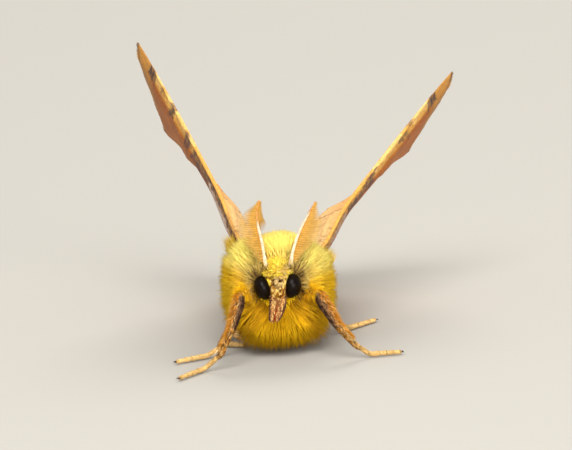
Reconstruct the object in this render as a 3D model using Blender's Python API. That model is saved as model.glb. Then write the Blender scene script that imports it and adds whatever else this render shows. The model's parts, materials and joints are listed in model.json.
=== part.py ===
"""A canary-shouldered thorn moth (male), life size, standing on a floor with its wings held up in a V.

The moth is drawn in millimetres and scaled to metres when each piece is finished. +Z is up, the floor is
z = 0, the head looks along -Y, and +X is the moth's own left. Pieces that touch in life keep a small gap.
"""

import math
import random

import bmesh
import bpy
from mathutils import Matrix, Vector
from mathutils.bvhtree import BVHTree
from mathutils.geometry import delaunay_2d_cdt

# Driving dimensions, in millimetres.
MM = 0.001                    # one millimetre in metres, the scale of the finished pieces
GAP = 0.28                    # clear space between pieces that meet

THORAX_MID = Vector((0.2, 3.2, 3.55))
THORAX_CORE = Vector((2.55, 2.6, 2.65))      # half-sizes of the body under the fur
FUR_MID = Vector((0.25, 2.9, 3.55))
FUR_SIZE = Vector((3.45, 3.3, 3.4))          # half-sizes out to the tips of the fur

HEAD_MID = Vector((0.0, 0.35, 4.45))
HEAD_SIZE = Vector((1.0, 0.95, 1.08))
EYE_SPREAD = 0.95
EYE_SIZE = Vector((0.47, 0.72, 0.73))
EYE_HEIGHT = 4.25

WING_THICK = 0.5
VEIN_RISE = 0.14              # how far a vein stands out of each face
VEIN_HALF_WIDTH = 0.3
TUBE_SIDES = 8


def clear_scene():
    for obj in list(bpy.data.objects):
        bpy.data.objects.remove(obj, do_unlink=True)


clear_scene()
moth = bpy.data.collections.new("canary_shouldered_thorn")
bpy.context.scene.collection.children.link(moth)
cutters = bpy.data.collections.new("cutters")
bpy.context.scene.collection.children.link(cutters)


def material(name, colour, roughness):
    mat = bpy.data.materials.new(name)
    mat.use_nodes = True
    shader = mat.node_tree.nodes["Principled BSDF"]
    shader.inputs["Base Color"].default_value = (*colour, 1.0)
    shader.inputs["Roughness"].default_value = roughness
    shader.inputs["Metallic"].default_value = 0.0
    return mat


def smoothstep(low, high, x):
    t = min(1.0, max(0.0, (x - low) / (high - low)))
    return t * t * (3.0 - 2.0 * t)


def paint(obj, mat):
    obj.data.materials.clear()
    obj.data.materials.append(mat)


def object_from(name, bm, collection=moth):
    bmesh.ops.recalc_face_normals(bm, faces=bm.faces)
    mesh = bpy.data.meshes.new(name)
    bm.to_mesh(mesh)
    bm.free()
    obj = bpy.data.objects.new(name, mesh)
    collection.objects.link(obj)
    return obj


def ellipsoid(name, middle, size, turns=20, rings=12, collection=moth):
    bm = bmesh.new()
    matrix = Matrix.Translation(middle) @ Matrix.Diagonal((*size, 1.0))
    bmesh.ops.create_uvsphere(bm, u_segments=turns, v_segments=rings, radius=1.0, matrix=matrix)
    return object_from(name, bm, collection)


def loft(name, rings, collection=moth):
    """A closed skin over rings with the same number of points; a ring of one point is a tip."""
    bm = bmesh.new()
    rows = [[bm.verts.new(p) for p in ring] for ring in rings]
    for low, high in zip(rows, rows[1:]):
        count = max(len(low), len(high))
        for i in range(count):
            j = (i + 1) % count
            if len(low) == 1:
                bm.faces.new((low[0], high[j], high[i]))
            elif len(high) == 1:
                bm.faces.new((low[i], low[j], high[0]))
            else:
                bm.faces.new((low[i], low[j], high[j], high[i]))
    for row in (rows[0], rows[-1]):
        if len(row) > 1:
            bm.faces.new(row)
    bmesh.ops.triangulate(bm, faces=[f for f in bm.faces if len(f.verts) > 4])
    return object_from(name, bm, collection)


def tube(name, points, radii, collection=moth, sides=TUBE_SIDES):
    """A limb: a bevelled curve whose radius changes along it, made a closed mesh."""
    curve = bpy.data.curves.new(name, "CURVE")
    curve.dimensions = "3D"
    curve.bevel_depth = 1.0
    curve.bevel_resolution = (sides - 4) // 2
    curve.use_fill_caps = True
    spline = curve.splines.new("POLY")
    spline.points.add(len(points) - 1)
    for control, point, radius in zip(spline.points, points, radii):
        control.co = (*point, 1.0)
        control.radius = radius
    holder = bpy.data.objects.new(name + "_curve", curve)
    collection.objects.link(holder)
    evaluated = holder.evaluated_get(bpy.context.evaluated_depsgraph_get())
    mesh = bpy.data.meshes.new_from_object(evaluated)
    bpy.data.objects.remove(holder, do_unlink=True)
    bm = bmesh.new()
    bm.from_mesh(mesh)
    bpy.data.meshes.remove(mesh)
    bmesh.ops.remove_doubles(bm, verts=bm.verts, dist=1e-4)
    return object_from(name, bm, collection)


def apply_modifiers(obj):
    evaluated = obj.evaluated_get(bpy.context.evaluated_depsgraph_get())
    mesh = bpy.data.meshes.new_from_object(evaluated)
    obj.modifiers.clear()
    obj.data = mesh


def keep_largest_surface(obj):
    bm = bmesh.new()
    bm.from_mesh(obj.data)
    bmesh.ops.remove_doubles(bm, verts=bm.verts, dist=2e-4)
    bmesh.ops.dissolve_degenerate(bm, edges=bm.edges, dist=2e-4)
    bmesh.ops.triangulate(bm, faces=[f for f in bm.faces if len(f.verts) > 3])
    islands = []
    seen = set()
    for face in bm.faces:
        if face in seen:
            continue
        island = {face}
        front = [face]
        while front:
            for edge in front.pop().edges:
                for other in edge.link_faces:
                    if other not in island:
                        island.add(other)
                        front.append(other)
        seen |= island
        islands.append(island)
    islands.sort(key=lambda island: sum(f.calc_area() for f in island))
    for island in islands[:-1]:
        bmesh.ops.delete(bm, geom=list(island), context="FACES")
    bm.to_mesh(obj.data)
    bm.free()


def cut_away(obj, cutter):
    cutter.hide_render = True
    cutter.display_type = "WIRE"
    boolean = obj.modifiers.new("cut", "BOOLEAN")
    boolean.operation = "DIFFERENCE"
    boolean.solver = "EXACT"
    boolean.object = cutter
    apply_modifiers(obj)
    keep_largest_surface(obj)


def fuse(obj, pieces):
    """Join closed pieces to obj as one body, with one union, and remove them."""
    group = bpy.data.collections.new(obj.name + "_pieces")
    bpy.context.scene.collection.children.link(group)
    for piece in pieces:
        for holder in list(piece.users_collection):
            holder.objects.unlink(piece)
        group.objects.link(piece)
    boolean = obj.modifiers.new("union", "BOOLEAN")
    boolean.operation = "UNION"
    boolean.solver = "MANIFOLD"
    boolean.operand_type = "COLLECTION"
    boolean.collection = group
    apply_modifiers(obj)
    for piece in pieces:
        bpy.data.objects.remove(piece, do_unlink=True)
    bpy.data.collections.remove(group)
    keep_largest_surface(obj)


def rest_on_floor(obj):
    """Flatten whatever of a piece would sink below the floor."""
    for vertex in obj.data.vertices:
        vertex.co.z = max(vertex.co.z, 0.0)


# Abdomen: soft rings, each a little fuller in its middle, ending in a blunt tuft that rests on the floor.
ABDOMEN_FRONT = Vector((0.12, 6.15, 3.1))
ABDOMEN_END = Vector((0.1, 14.6, 0.72))
ABDOMEN_SAG = 0.35
ABDOMEN_SEGMENTS = 7
ABDOMEN_SIDES = 14


def abdomen_half_width(t):
    taper = 1.42 - 0.55 * t - 0.25 * smoothstep(0.8, 1.0, t)
    fullness = 0.09 * abs(math.sin(math.pi * ABDOMEN_SEGMENTS * t))
    return taper + fullness


def make_abdomen():
    rings = []
    steps = ABDOMEN_SEGMENTS * 2
    for i in range(steps + 1):
        t = i / steps
        middle = ABDOMEN_FRONT.lerp(ABDOMEN_END, t)
        middle.z -= ABDOMEN_SAG * math.sin(math.pi * t)
        half = abdomen_half_width(t)
        if i == 0:
            half *= 0.86
        if i == steps:
            half *= 0.6
        rings.append([middle + Vector((half * math.cos(a), 0.0, half * math.sin(a)))
                      for a in (math.tau * k / ABDOMEN_SIDES for k in range(ABDOMEN_SIDES))])
    obj = loft("abdomen", rings)
    rest_on_floor(obj)
    return obj


# Wings. Each pair of wings is drawn on one flat sheet: a runs from the root to the forewing's tip and b
# from the front edge towards the back edge. A bend lifts the sheet along its outward normal.
FOREWING_FRONT = [(0.0, -0.1), (3.0, -0.4), (7.0, -0.5), (11.0, -0.4), (14.5, -0.3)]
FOREWING_TEETH = [(17.0, 0.0), (15.95, 2.25), (14.9, 4.05), (14.05, 5.85), (12.8, 7.05), (11.8, 8.15), (10.9, 8.95)]
FOREWING_BACK = [(8.2, 7.1), (5.2, 4.9), (2.4, 2.9), (0.0, 1.3)]
FOREWING_SCALLOP = 0.33
FOREWING_VEINS = [
    [(0.2, 0.3), (4.5, 1.0), (8.6, 1.9), (12.6, 1.3), (16.4, 0.3)],
    [(5.5, 1.2), (8.5, 0.75), (13.0, 0.1)],
    [(0.2, 0.75), (3.2, 2.0), (6.0, 3.3), (8.2, 4.15), (11.0, 5.05), (13.75, 5.75)],
    [(8.6, 1.9), (8.85, 2.6), (8.8, 3.3), (8.2, 4.15)],
    [(8.85, 2.6), (12.0, 2.55), (15.6, 2.25)],
    [(8.8, 3.3), (12.0, 3.7), (14.6, 4.0)],
    [(7.4, 3.85), (10.0, 5.3), (12.5, 6.9)],
    [(5.6, 3.15), (8.5, 5.5), (11.5, 7.95)],
    [(0.3, 1.15), (3.5, 3.3), (7.0, 5.95), (10.6, 8.55)],
]
HINDWING_ROOT = (0.55, 2.05)
HINDWING_FRONT = [(4.5, 25.0), (8.2, 26.5)]
HINDWING_TEETH = [(10.4, 29.0), (11.7, 37.0), (13.0, 46.0), (11.9, 52.5), (10.6, 58.5), (8.6, 64.0)]
HINDWING_BACK = [(5.0, 67.0), (2.0, 73.0)]
HINDWING_SCALLOP = 0.38
HINDWING_VEINS = [
    [(0.5, 40.0), (5.5, 33.0), (8.0, 31.5), (10.1, 30.0)],
    [(5.5, 33.0), (9.0, 36.0), (11.3, 37.2)],
    [(0.6, 48.0), (5.2, 44.5), (9.0, 45.2), (12.5, 46.0)],
    [(5.5, 33.0), (5.6, 39.0), (5.2, 44.5)],
    [(5.2, 44.5), (8.8, 49.8), (11.5, 52.4)],
    [(3.6, 46.0), (7.4, 55.0), (10.2, 58.4)],
    [(0.6, 58.0), (4.5, 61.5), (8.3, 63.5)],
]
HINDWING_OFFSET = 1.06        # how far the hindwing lies outside the forewing's sheet


class WingSheet:
    """One side's sheet: where it starts, which way its axes run, and how it bends.

    Each of `leans` is (lean, from, to): how much more the sheet leans outwards for each millimetre back,
    and between which two places along the wing, seen from the front, that sets in.
    """

    def __init__(self, root, tip, back_edge, outward_x, leans, anal_bend):
        self.root = Vector(root)
        self.along = (Vector(tip) - self.root).normalized()
        chord = Vector(back_edge)
        self.across = (chord - self.along * chord.dot(self.along)).normalized()
        self.outward = self.along.cross(self.across)
        if self.outward.x * outward_x < 0.0:
            self.outward.negate()
        self.leans = leans
        self.anal_bend = anal_bend

    def fore_height(self, a, b):
        # The front edge rolls inwards, the base leans in, and the tooth behind the tip flares out.
        place = 0.85 * a - 0.49 * b
        lean = sum(amount * smoothstep(low, high, place) for amount, low, high in self.leans)
        return 0.12 * smoothstep(-0.4, 0.8, b) - 0.1 + lean * max(b, 0.0)

    def hind_height(self, a, b):
        da, db = a - HINDWING_ROOT[0], b - HINDWING_ROOT[1]
        reach = math.hypot(da, db)
        angle = math.degrees(math.atan2(db, da))
        layer = self.fore_height(a, b) + HINDWING_OFFSET * (0.62 + 0.38 * smoothstep(0.0, 3.5, reach))
        beyond = smoothstep(38.0, 60.0, angle)
        return layer + beyond * self.anal_bend * smoothstep(1.0, 6.0, reach)

    def point(self, a, b, height):
        return self.root + self.along * a + self.across * b + self.outward * height(a, b)

    def normal(self, a, b, height):
        step = 0.05
        along = self.point(a + step, b, height) - self.point(a - step, b, height)
        across = self.point(a, b + step, height) - self.point(a, b - step, height)
        normal = along.cross(across).normalized()
        return normal if normal.dot(self.outward) > 0.0 else -normal


def scalloped(teeth, depth, towards):
    """The outer edge: a shallow bay between each two teeth, hollowed towards the wing's root."""
    edge = [teeth[0]]
    for first, second in zip(teeth, teeth[1:]):
        middle = Vector(((first[0] + second[0]) / 2, (first[1] + second[1]) / 2))
        inward = (Vector(towards) - middle).normalized()
        size = (Vector(first) - Vector(second)).length
        middle += inward * depth * min(1.0, size / 2.0)
        edge += [tuple(middle), second]
    return edge


def split_line(points, step):
    """The same polyline with points no further apart than step."""
    fine = [Vector(points[0])]
    for first, second in zip(points, points[1:]):
        first, second = Vector(first), Vector(second)
        count = max(1, math.ceil((second - first).length / step))
        fine += [first.lerp(second, i / count) for i in range(1, count + 1)]
    return fine


def polar(points, root):
    return [(root[0] + r * math.cos(math.radians(f)), root[1] + r * math.sin(math.radians(f))) for r, f in points]


def inside(point, outline):
    hit = False
    for p, q in zip(outline, outline[1:] + outline[:1]):
        if (p.y > point.y) != (q.y > point.y):
            if point.x < p.x + (point.y - p.y) * (q.x - p.x) / (q.y - p.y):
                hit = not hit
    return hit


def distance_to_lines(point, lines):
    best = 1e9
    for line in lines:
        for p, q in zip(line, line[1:]):
            span = q - p
            t = min(1.0, max(0.0, (point - p).dot(span) / span.length_squared))
            best = min(best, (point - p - span * t).length)
    return best


def make_wing(name, sheet, height, outline, veins, step=1.9):
    """Both faces share one triangulation, so a thin bent wing never crosses itself."""
    border = split_line(outline + outline[:1], step)[:-1]
    centres = [split_line(vein, step) for vein in veins]
    sides = []
    for line in centres:
        for sign in (1.0, -1.0):
            shifted = []
            for i, point in enumerate(line):
                run = (line[min(i + 1, len(line) - 1)] - line[max(i - 1, 0)]).normalized()
                shifted.append(point + Vector((-run.y, run.x)) * VEIN_HALF_WIDTH * sign)
            sides.append(shifted)
    flat = list(border)
    edges = [(i, (i + 1) % len(border)) for i in range(len(border))]
    for line in centres + sides:
        kept = [p for p in line if inside(p, border) and distance_to_lines(p, [border + border[:1]]) > 0.22]
        start = len(flat)
        flat += kept
        edges += [(start + i, start + i + 1) for i in range(len(kept) - 1)
                  if (kept[i] - kept[i + 1]).length < step * 1.2]
    verts, _, faces, _, _, _ = delaunay_2d_cdt(flat, edges, [], 1, 0.12)
    faces = [f for f in faces if inside(sum((verts[i] for i in f), Vector((0.0, 0.0))) / len(f), border)]
    used = sorted({i for f in faces for i in f})
    index = {old: new for new, old in enumerate(used)}
    faces = [[index[i] for i in f] for f in faces]
    bm = bmesh.new()
    top, bottom = [], []
    for old in used:
        p = verts[old]
        rise = VEIN_RISE * max(0.0, 1.0 - distance_to_lines(p, centres) / VEIN_HALF_WIDTH)
        middle = sheet.point(p.x, p.y, height)
        normal = sheet.normal(p.x, p.y, height)
        top.append(bm.verts.new(middle + normal * (WING_THICK / 2 + rise)))
        bottom.append(bm.verts.new(middle - normal * (WING_THICK / 2 + rise)))
    uses = {}
    for f in faces:
        bm.faces.new([top[i] for i in f])
        bm.faces.new([bottom[i] for i in reversed(f)])
        for i, j in zip(f, f[1:] + f[:1]):
            uses.setdefault(frozenset((i, j)), []).append((i, j))
    for pairs in uses.values():
        if len(pairs) == 1:
            i, j = pairs[0]
            bm.faces.new((top[j], top[i], bottom[i]))
            bm.faces.new((top[j], bottom[i], bottom[j]))
    return object_from(name, bm)


def make_wings(side, sheet):
    fore = FOREWING_FRONT + scalloped(FOREWING_TEETH, FOREWING_SCALLOP, (6.0, 3.5)) + FOREWING_BACK
    forewing = make_wing("forewing_" + side, sheet, sheet.fore_height, fore, FOREWING_VEINS)
    teeth = polar(HINDWING_TEETH, HINDWING_ROOT)
    hind = [HINDWING_ROOT] + polar(HINDWING_FRONT, HINDWING_ROOT)
    hind += scalloped(teeth, HINDWING_SCALLOP, HINDWING_ROOT) + polar(HINDWING_BACK, HINDWING_ROOT)
    veins = [polar(vein, HINDWING_ROOT) for vein in HINDWING_VEINS]
    hindwing = make_wing("hindwing_" + side, sheet, sheet.hind_height, hind, veins)
    return forewing, hindwing


RIGHT_SHEET = WingSheet((-1.55, 3.3, 5.75), (-6.98, 15.25, 16.46), (0.235, 0.733, -0.639), -1.0,
                        [(-0.115, -2.0, -1.0), (0.05, 1.0, 4.0), (0.115, 4.6, 7.6), (0.085, 7.6, 9.4)], 0.75)
LEFT_SHEET = WingSheet((2.05, 3.3, 4.95), (12.29, 13.75, 13.52), (-0.319, 0.74, -0.593), 1.0,
                       [(-0.19, -2.0, -1.0), (0.13, 2.0, 5.2), (0.09, 5.0, 7.8), (0.07, 7.8, 9.4)], 0.5)


# Legs: joint by joint from the thorax to the tip of the foot, which lies on the floor.
COXA, TROCHANTER, FEMUR, KNEE, TIBIA, ANKLE, TARSUS, CLAW = 0.36, 0.3, 0.32, 0.27, 0.28, 0.25, 0.24, 0.14
FOOT_HEIGHT = 0.2
LEG_JOINTS = {
    # root by the thorax, trochanter, knee, ankle, where the foot comes down, and its tip
    "leg_fore_right": [(-1.5, 0.45, 3.6), (-2.12, -0.2, 4.1), (-2.85, -2.0, 2.48), (-3.78, -2.1, 0.88),
                       (-4.7, -2.2, 0.2), (-6.21, -3.78, 0.2)],
    "leg_fore_left": [(1.75, 0.5, 3.35), (2.2, -0.2, 3.85), (3.25, -1.8, 2.08), (4.42, -1.7, 0.72),
                      (5.18, -1.65, 0.2), (6.94, -1.55, 0.2)],
    "leg_mid_right": [(-1.35, 1.9, 0.95), (-1.75, 1.75, 0.9), (-3.0, 0.9, 1.5), (-3.75, 0.9, 0.5),
                      (-4.4, 0.75, 0.2), (-6.22, 0.0, 0.2)],
    "leg_mid_left": [(1.75, 2.9, 0.85), (2.1, 3.0, 0.85), (3.0, 3.6, 1.35), (3.97, 4.4, 0.42),
                     (4.5, 5.0, 0.2), (6.12, 6.46, 0.2)],
    "leg_hind_right": [(-0.9, 5.0, 1.0), (-1.35, 5.5, 0.95), (-2.5, 6.3, 1.3), (-2.95, 4.4, 0.5),
                       (-2.95, 3.1, 0.2), (-2.05, 2.75, 0.2)],
    "leg_hind_left": [(1.2, 5.0, 1.0), (1.7, 5.4, 0.95), (2.6, 7.6, 1.6), (2.75, 9.7, 0.45),
                      (2.85, 10.6, 0.2), (3.1, 13.0, 0.2)],
}
TARSUS_SEGMENTS = 4
TARSUS_SEGMENT_LENGTH = 0.45  # the shortest segment of a foot
TARSUS_WAIST = 0.1            # how far before its end a segment starts to narrow


def knee_bend(before, knee, after):
    """Three points that round a knee off, far enough apart for its inner side not to fold over."""
    down_femur, down_tibia = (knee - before).normalized(), (after - knee).normalized()
    room = KNEE * math.tan(down_femur.angle(down_tibia) / 2) + 0.08
    start, end = knee - down_femur * room, knee + down_tibia * room
    return [start, (start + end) / 4 + knee / 2, end]


def make_leg(name, joints):
    root, trochanter, knee, ankle, down, tip = (Vector(p) for p in joints)
    points = [root, trochanter, trochanter.lerp(knee, 0.4), *knee_bend(trochanter, knee, ankle),
              knee.lerp(ankle, 0.85), ankle, down]
    radii = [COXA, TROCHANTER, FEMUR, KNEE, KNEE, TIBIA, TIBIA * 0.9, ANKLE, TARSUS]
    foot = (tip - down).length
    segments = min(TARSUS_SEGMENTS, int(foot / TARSUS_SEGMENT_LENGTH))
    for i in range(1, segments):
        t = i / segments
        points += [down.lerp(tip, t - TARSUS_WAIST / foot), down.lerp(tip, t)]
        radii += [TARSUS, TARSUS * 0.86]
    points += [down.lerp(tip, 0.93), tip]
    radii += [TARSUS * 0.95, CLAW]
    obj = tube(name, points, radii)
    rest_on_floor(obj)
    return obj


# Antennae: a shaft sweeping up and back, with its comb.
ANTENNA_PATHS = {
    "antenna_right": [(-0.42, 0.1, 5.4), (-0.62, 0.3, 5.9), (-0.7, 1.05, 6.6), (-0.83, 2.3, 7.5),
                      (-0.78, 3.5, 8.05), (-0.5, 4.9, 8.42)],
    "antenna_left": [(0.45, 0.1, 5.35), (0.95, 0.3, 5.9), (1.17, 0.95, 6.4), (1.75, 2.35, 7.18),
                     (2.25, 3.5, 7.64), (2.8, 4.8, 8.12)],
}
ANTENNA_RADIUS = 0.25
RAY_COUNT = 11                # rays on each side of the shaft
RAY_REACH = 1.1               # longest ray, measured from the middle of the shaft
RAY_HALF_WIDTH = 0.21
RAY_HALF_DEPTH = 0.25


def along_path(points, t):
    """The point at share t of a polyline's length, and the direction it runs there."""
    lengths = [(q - p).length for p, q in zip(points, points[1:])]
    left = t * sum(lengths)
    for p, q, length in zip(points, points[1:], lengths):
        if left <= length:
            return p.lerp(q, left / length), (q - p).normalized()
        left -= length
    return points[-1], (points[-1] - points[-2]).normalized()


def make_ray(root, out, run, reach):
    """One tooth of the comb: flat, tapered, and bent a little towards the antenna's tip."""
    across = out.cross(run).normalized()
    rings = []
    for t, size in ((0.0, 1.0), (0.55, 0.72), (0.85, 0.4)):
        middle = root + out * reach * t + run * 0.28 * reach * t * t
        wide = run * RAY_HALF_WIDTH * size
        deep = across * RAY_HALF_DEPTH * size
        rings.append([middle + wide, middle + deep, middle - wide, middle - deep])
    rings.append([root + out * reach + run * 0.28 * reach])
    return loft("ray", rings)


def make_antenna(name, path, side):
    points = split_line(path, 0.9)
    radii = [ANTENNA_RADIUS * (1.0 - 0.55 * smoothstep(0.75, 1.0, i / (len(points) - 1))) for i in range(len(points))]
    shaft = tube(name, points, radii, sides=6)
    rays = []
    for row in ("outer", "inner"):
        for i in range(RAY_COUNT):
            t = (i + 0.9) / (RAY_COUNT + 0.4)
            root, run = along_path(points, t)
            outer = Vector((side, 0.0, 0.15))
            outer = (outer - run * run.dot(outer)).normalized()
            behind = run.cross(outer)
            if behind.z > 0.0:
                behind.negate()
            turn = math.radians(18.0 if row == "outer" else 98.0 + 40.0 * smoothstep(0.55, 0.9, t))
            out = outer * math.cos(turn) + behind * math.sin(turn)
            reach = RAY_REACH * (0.45 + 0.55 * smoothstep(0.0, 0.3, t)) * (1.0 - 0.62 * smoothstep(0.68, 1.0, t))
            if row == "inner":
                reach *= 0.8
            rays.append(make_ray(root, out, run, reach))
    fuse(shaft, rays)
    return shaft


# Head: a rounded box between the eyes, hollowed on each side to take them.
def make_head():
    head = ellipsoid("head", HEAD_MID, HEAD_SIZE)
    brow = ellipsoid("brow", Vector((0.0, -0.05, 4.2)), Vector((0.52, 0.85, 0.98)), 16, 10)
    fuse(head, [brow])
    return head


def make_eye(name, side):
    return ellipsoid(name, Vector((side * EYE_SPREAD, 0.05, EYE_HEIGHT)), EYE_SIZE, 16, 10)


PALP_ROOT = Vector((0.33, -0.78, 3.3))
PALP_TIP = Vector((0.27, -1.65, 2.62))
PALP_SWAY = (0.03, 0.35)      # how far both palps point to the moth's right, at their roots and tips


def make_palp(name, side):
    root = Vector((side * PALP_ROOT.x - PALP_SWAY[0], PALP_ROOT.y, PALP_ROOT.z))
    tip = Vector((side * PALP_TIP.x - PALP_SWAY[1], PALP_TIP.y, PALP_TIP.z))
    points = [root, root.lerp(tip, 0.15), root.lerp(tip, 0.55), root.lerp(tip, 0.85), tip]
    return tube(name, points, [0.2, 0.24, 0.23, 0.17, 0.06])


def thorax_shape(grow, name, collection):
    size = THORAX_CORE + Vector((grow, grow, grow))
    return ellipsoid(name, THORAX_MID, size, 22, 14, collection)


# Fur of the thorax: flat tapered locks laid like shingles, away from the face.
LOCK_COUNT = 205
LOCK_SEED = 7
LOCK_HALF_WIDTH = 0.62
LOCK_HALF_DEPTH = 0.26
FACE = Vector((0.0, -1.2, 4.2))
LOCK_CLEARANCE = GAP + 0.04


def fur_surface(way):
    """Where a straight way out of the fur's middle meets the outline of the fur, a little squarer than an egg."""
    power = 2.35
    size = sum(abs(w / s) ** power for w, s in zip(way, FUR_SIZE)) ** (-1.0 / power)
    return size


def lock_rings(root, normal, lie, reach, width):
    """Rings of a flat lock that leaves the body at a slant and bends over to lie along it."""
    across = normal.cross(lie).normalized()
    rings = []
    for t, wide, deep in ((-0.25, 0.75, 0.95), (0.2, 1.0, 1.0), (0.6, 0.85, 0.7), (0.86, 0.45, 0.4)):
        ahead = max(0.0, t)
        middle = root + normal * reach * (0.6 * t - 0.25 * ahead * ahead)
        middle += lie * reach * (0.6 * t + 0.32 * ahead * ahead)
        run = (normal * (0.6 - 0.5 * ahead) + lie * (0.6 + 0.64 * ahead)).normalized()
        thick = across.cross(run).normalized()
        half = across * width * wide
        depth = thick * LOCK_HALF_DEPTH * deep
        rings.append([middle + half, middle + depth, middle - half, middle - depth])
    rings.append([root + normal * reach * 0.35 + lie * reach * 0.92])
    return rings


def is_clear(rings, trees):
    points = [p for ring in rings for p in ring]
    points += [(p + q) / 2 for low, high in zip(rings, rings[1:]) for p in low for q in high[:1]]
    for tree in trees:
        for point in points:
            _, _, _, distance = tree.find_nearest(point)
            if distance is not None and distance < LOCK_CLEARANCE:
                return False
    return True


def tree_of(obj):
    bm = bmesh.new()
    bm.from_mesh(obj.data)
    tree = BVHTree.FromBMesh(bm)
    bm.free()
    return tree


def make_locks(neighbours):
    draw = random.Random(LOCK_SEED)
    trees = [tree_of(obj) for obj in neighbours]
    locks = []
    golden = math.pi * (3.0 - math.sqrt(5.0))
    for i in range(LOCK_COUNT):
        up = 1.0 - 2.0 * (i + 0.5) / LOCK_COUNT
        round_ = math.sqrt(1.0 - up * up)
        way = Vector((round_ * math.cos(golden * i), round_ * math.sin(golden * i), up))
        way += Vector([draw.uniform(-0.09, 0.09) for _ in range(3)])
        way.normalize()
        root = THORAX_MID + Vector([w * s for w, s in zip(way, THORAX_CORE)])
        normal = Vector([w / s for w, s in zip(way, THORAX_CORE)]).normalized()
        away = root - FACE + Vector((0.0, 0.0, -0.5 if way.z < 0.0 else 0.0))
        lie = away - normal * away.dot(normal)
        if lie.length < 0.2:
            continue
        lie = (lie.normalized() + Vector([draw.uniform(-0.15, 0.15) for _ in range(3)])).normalized()
        lie = (lie - normal * lie.dot(normal)).normalized()
        forward_low = max(0.0, -way.y) * max(0.0, -way.z)
        width = LOCK_HALF_WIDTH * draw.uniform(0.85, 1.1)
        limit = draw.uniform(0.95, 1.03) * (1.0 + 0.45 * forward_low)
        for reach in (2.7, 2.5, 2.3, 2.1, 1.9, 1.7, 1.5, 1.3, 1.1, 0.9):
            rings = lock_rings(root - normal * 0.1, normal, lie, reach, width * min(1.0, 0.4 + reach / 3.0))
            tip = rings[-1][0]
            out = tip - FUR_MID
            if out.length > fur_surface(out.normalized()) * limit:
                continue
            if min(p.z for ring in rings for p in ring) < 0.12 or not is_clear(rings, trees):
                continue
            locks.append(loft("lock", rings))
            break
    return locks


canary = material("canary_fur", (0.86, 0.62, 0.05), 0.9)
tan = material("tan_scales", (0.62, 0.42, 0.2), 0.85)
wing_orange = material("wing_orange", (0.82, 0.48, 0.16), 0.7)
wing_pale = material("wing_pale", (0.86, 0.62, 0.32), 0.7)
leg_orange = material("leg_scales", (0.72, 0.42, 0.16), 0.8)
comb_buff = material("comb_buff", (0.82, 0.5, 0.24), 0.8)
eye_black = material("eye_black", (0.01, 0.008, 0.006), 0.15)
ochre = material("abdomen_ochre", (0.8, 0.58, 0.2), 0.9)

head = make_head()
for side_name, sign in (("right", -1.0), ("left", 1.0)):
    cup_size = Vector([s + GAP for s in EYE_SIZE])
    cup = ellipsoid("eye_cup_" + side_name, Vector((sign * EYE_SPREAD, 0.05, EYE_HEIGHT)), cup_size, 16, 10, cutters)
    cut_away(head, cup)
    paint(make_eye("eye_" + side_name, sign), eye_black)
    paint(make_palp("palp_" + side_name, sign), tan)
    antenna = make_antenna("antenna_" + side_name, ANTENNA_PATHS["antenna_" + side_name], sign)
    paint(antenna, comb_buff)
paint(head, tan)

paint(make_abdomen(), ochre)

for side_name, sheet in (("right", RIGHT_SHEET), ("left", LEFT_SHEET)):
    forewing, hindwing = make_wings(side_name, sheet)
    paint(forewing, wing_orange)
    paint(hindwing, wing_pale)
for leg_name, joints in LEG_JOINTS.items():
    paint(make_leg(leg_name, joints), leg_orange)

room = thorax_shape(GAP, "thorax_room", cutters)
for obj in list(moth.objects):
    if obj.name.startswith(("forewing", "hindwing", "leg", "abdomen", "antenna", "palp")):
        cut_away(obj, room)

thorax = thorax_shape(0.0, "thorax", moth)
head_room = ellipsoid("head_room", HEAD_MID, HEAD_SIZE + Vector((GAP, GAP, GAP)), 20, 12, cutters)
cut_away(thorax, head_room)
for side_name, sign in (("right", -1.0), ("left", 1.0)):
    cut_away(thorax, bpy.data.objects["eye_cup_" + side_name])
locks = make_locks([obj for obj in moth.objects if obj is not thorax])
fuse(thorax, locks)
paint(thorax, canary)

corners = [vertex.co for obj in moth.objects for vertex in obj.data.vertices]
low = [min(corner[i] for corner in corners) for i in range(3)]
high = [max(corner[i] for corner in corners) for i in range(3)]
to_origin = Matrix.Translation((-(low[0] + high[0]) / 2, -(low[1] + high[1]) / 2, 0.0))
for obj in list(moth.objects) + list(cutters.objects):
    obj.data.transform(Matrix.Scale(MM, 4) @ to_origin)
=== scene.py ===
# %% [markdown]
# # A canary-shouldered thorn moth, dressed in Blender
#
# A male moth stands facing us with its wings held up in a V. Its solids are already made and packed as a
# frame; here they get what the eye sees: fur, scales, combed antennae, veined wings and glossy eyes.
#
# Everything is drawn in millimetres, in the moth's own coordinates: z is up from the floor, the face looks
# along -y, and +x is the moth's left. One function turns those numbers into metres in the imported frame.

import json
import math

import bmesh
import bpy
import numpy as np
from mathutils import Matrix, Vector
from mathutils.geometry import delaunay_2d_cdt

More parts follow.
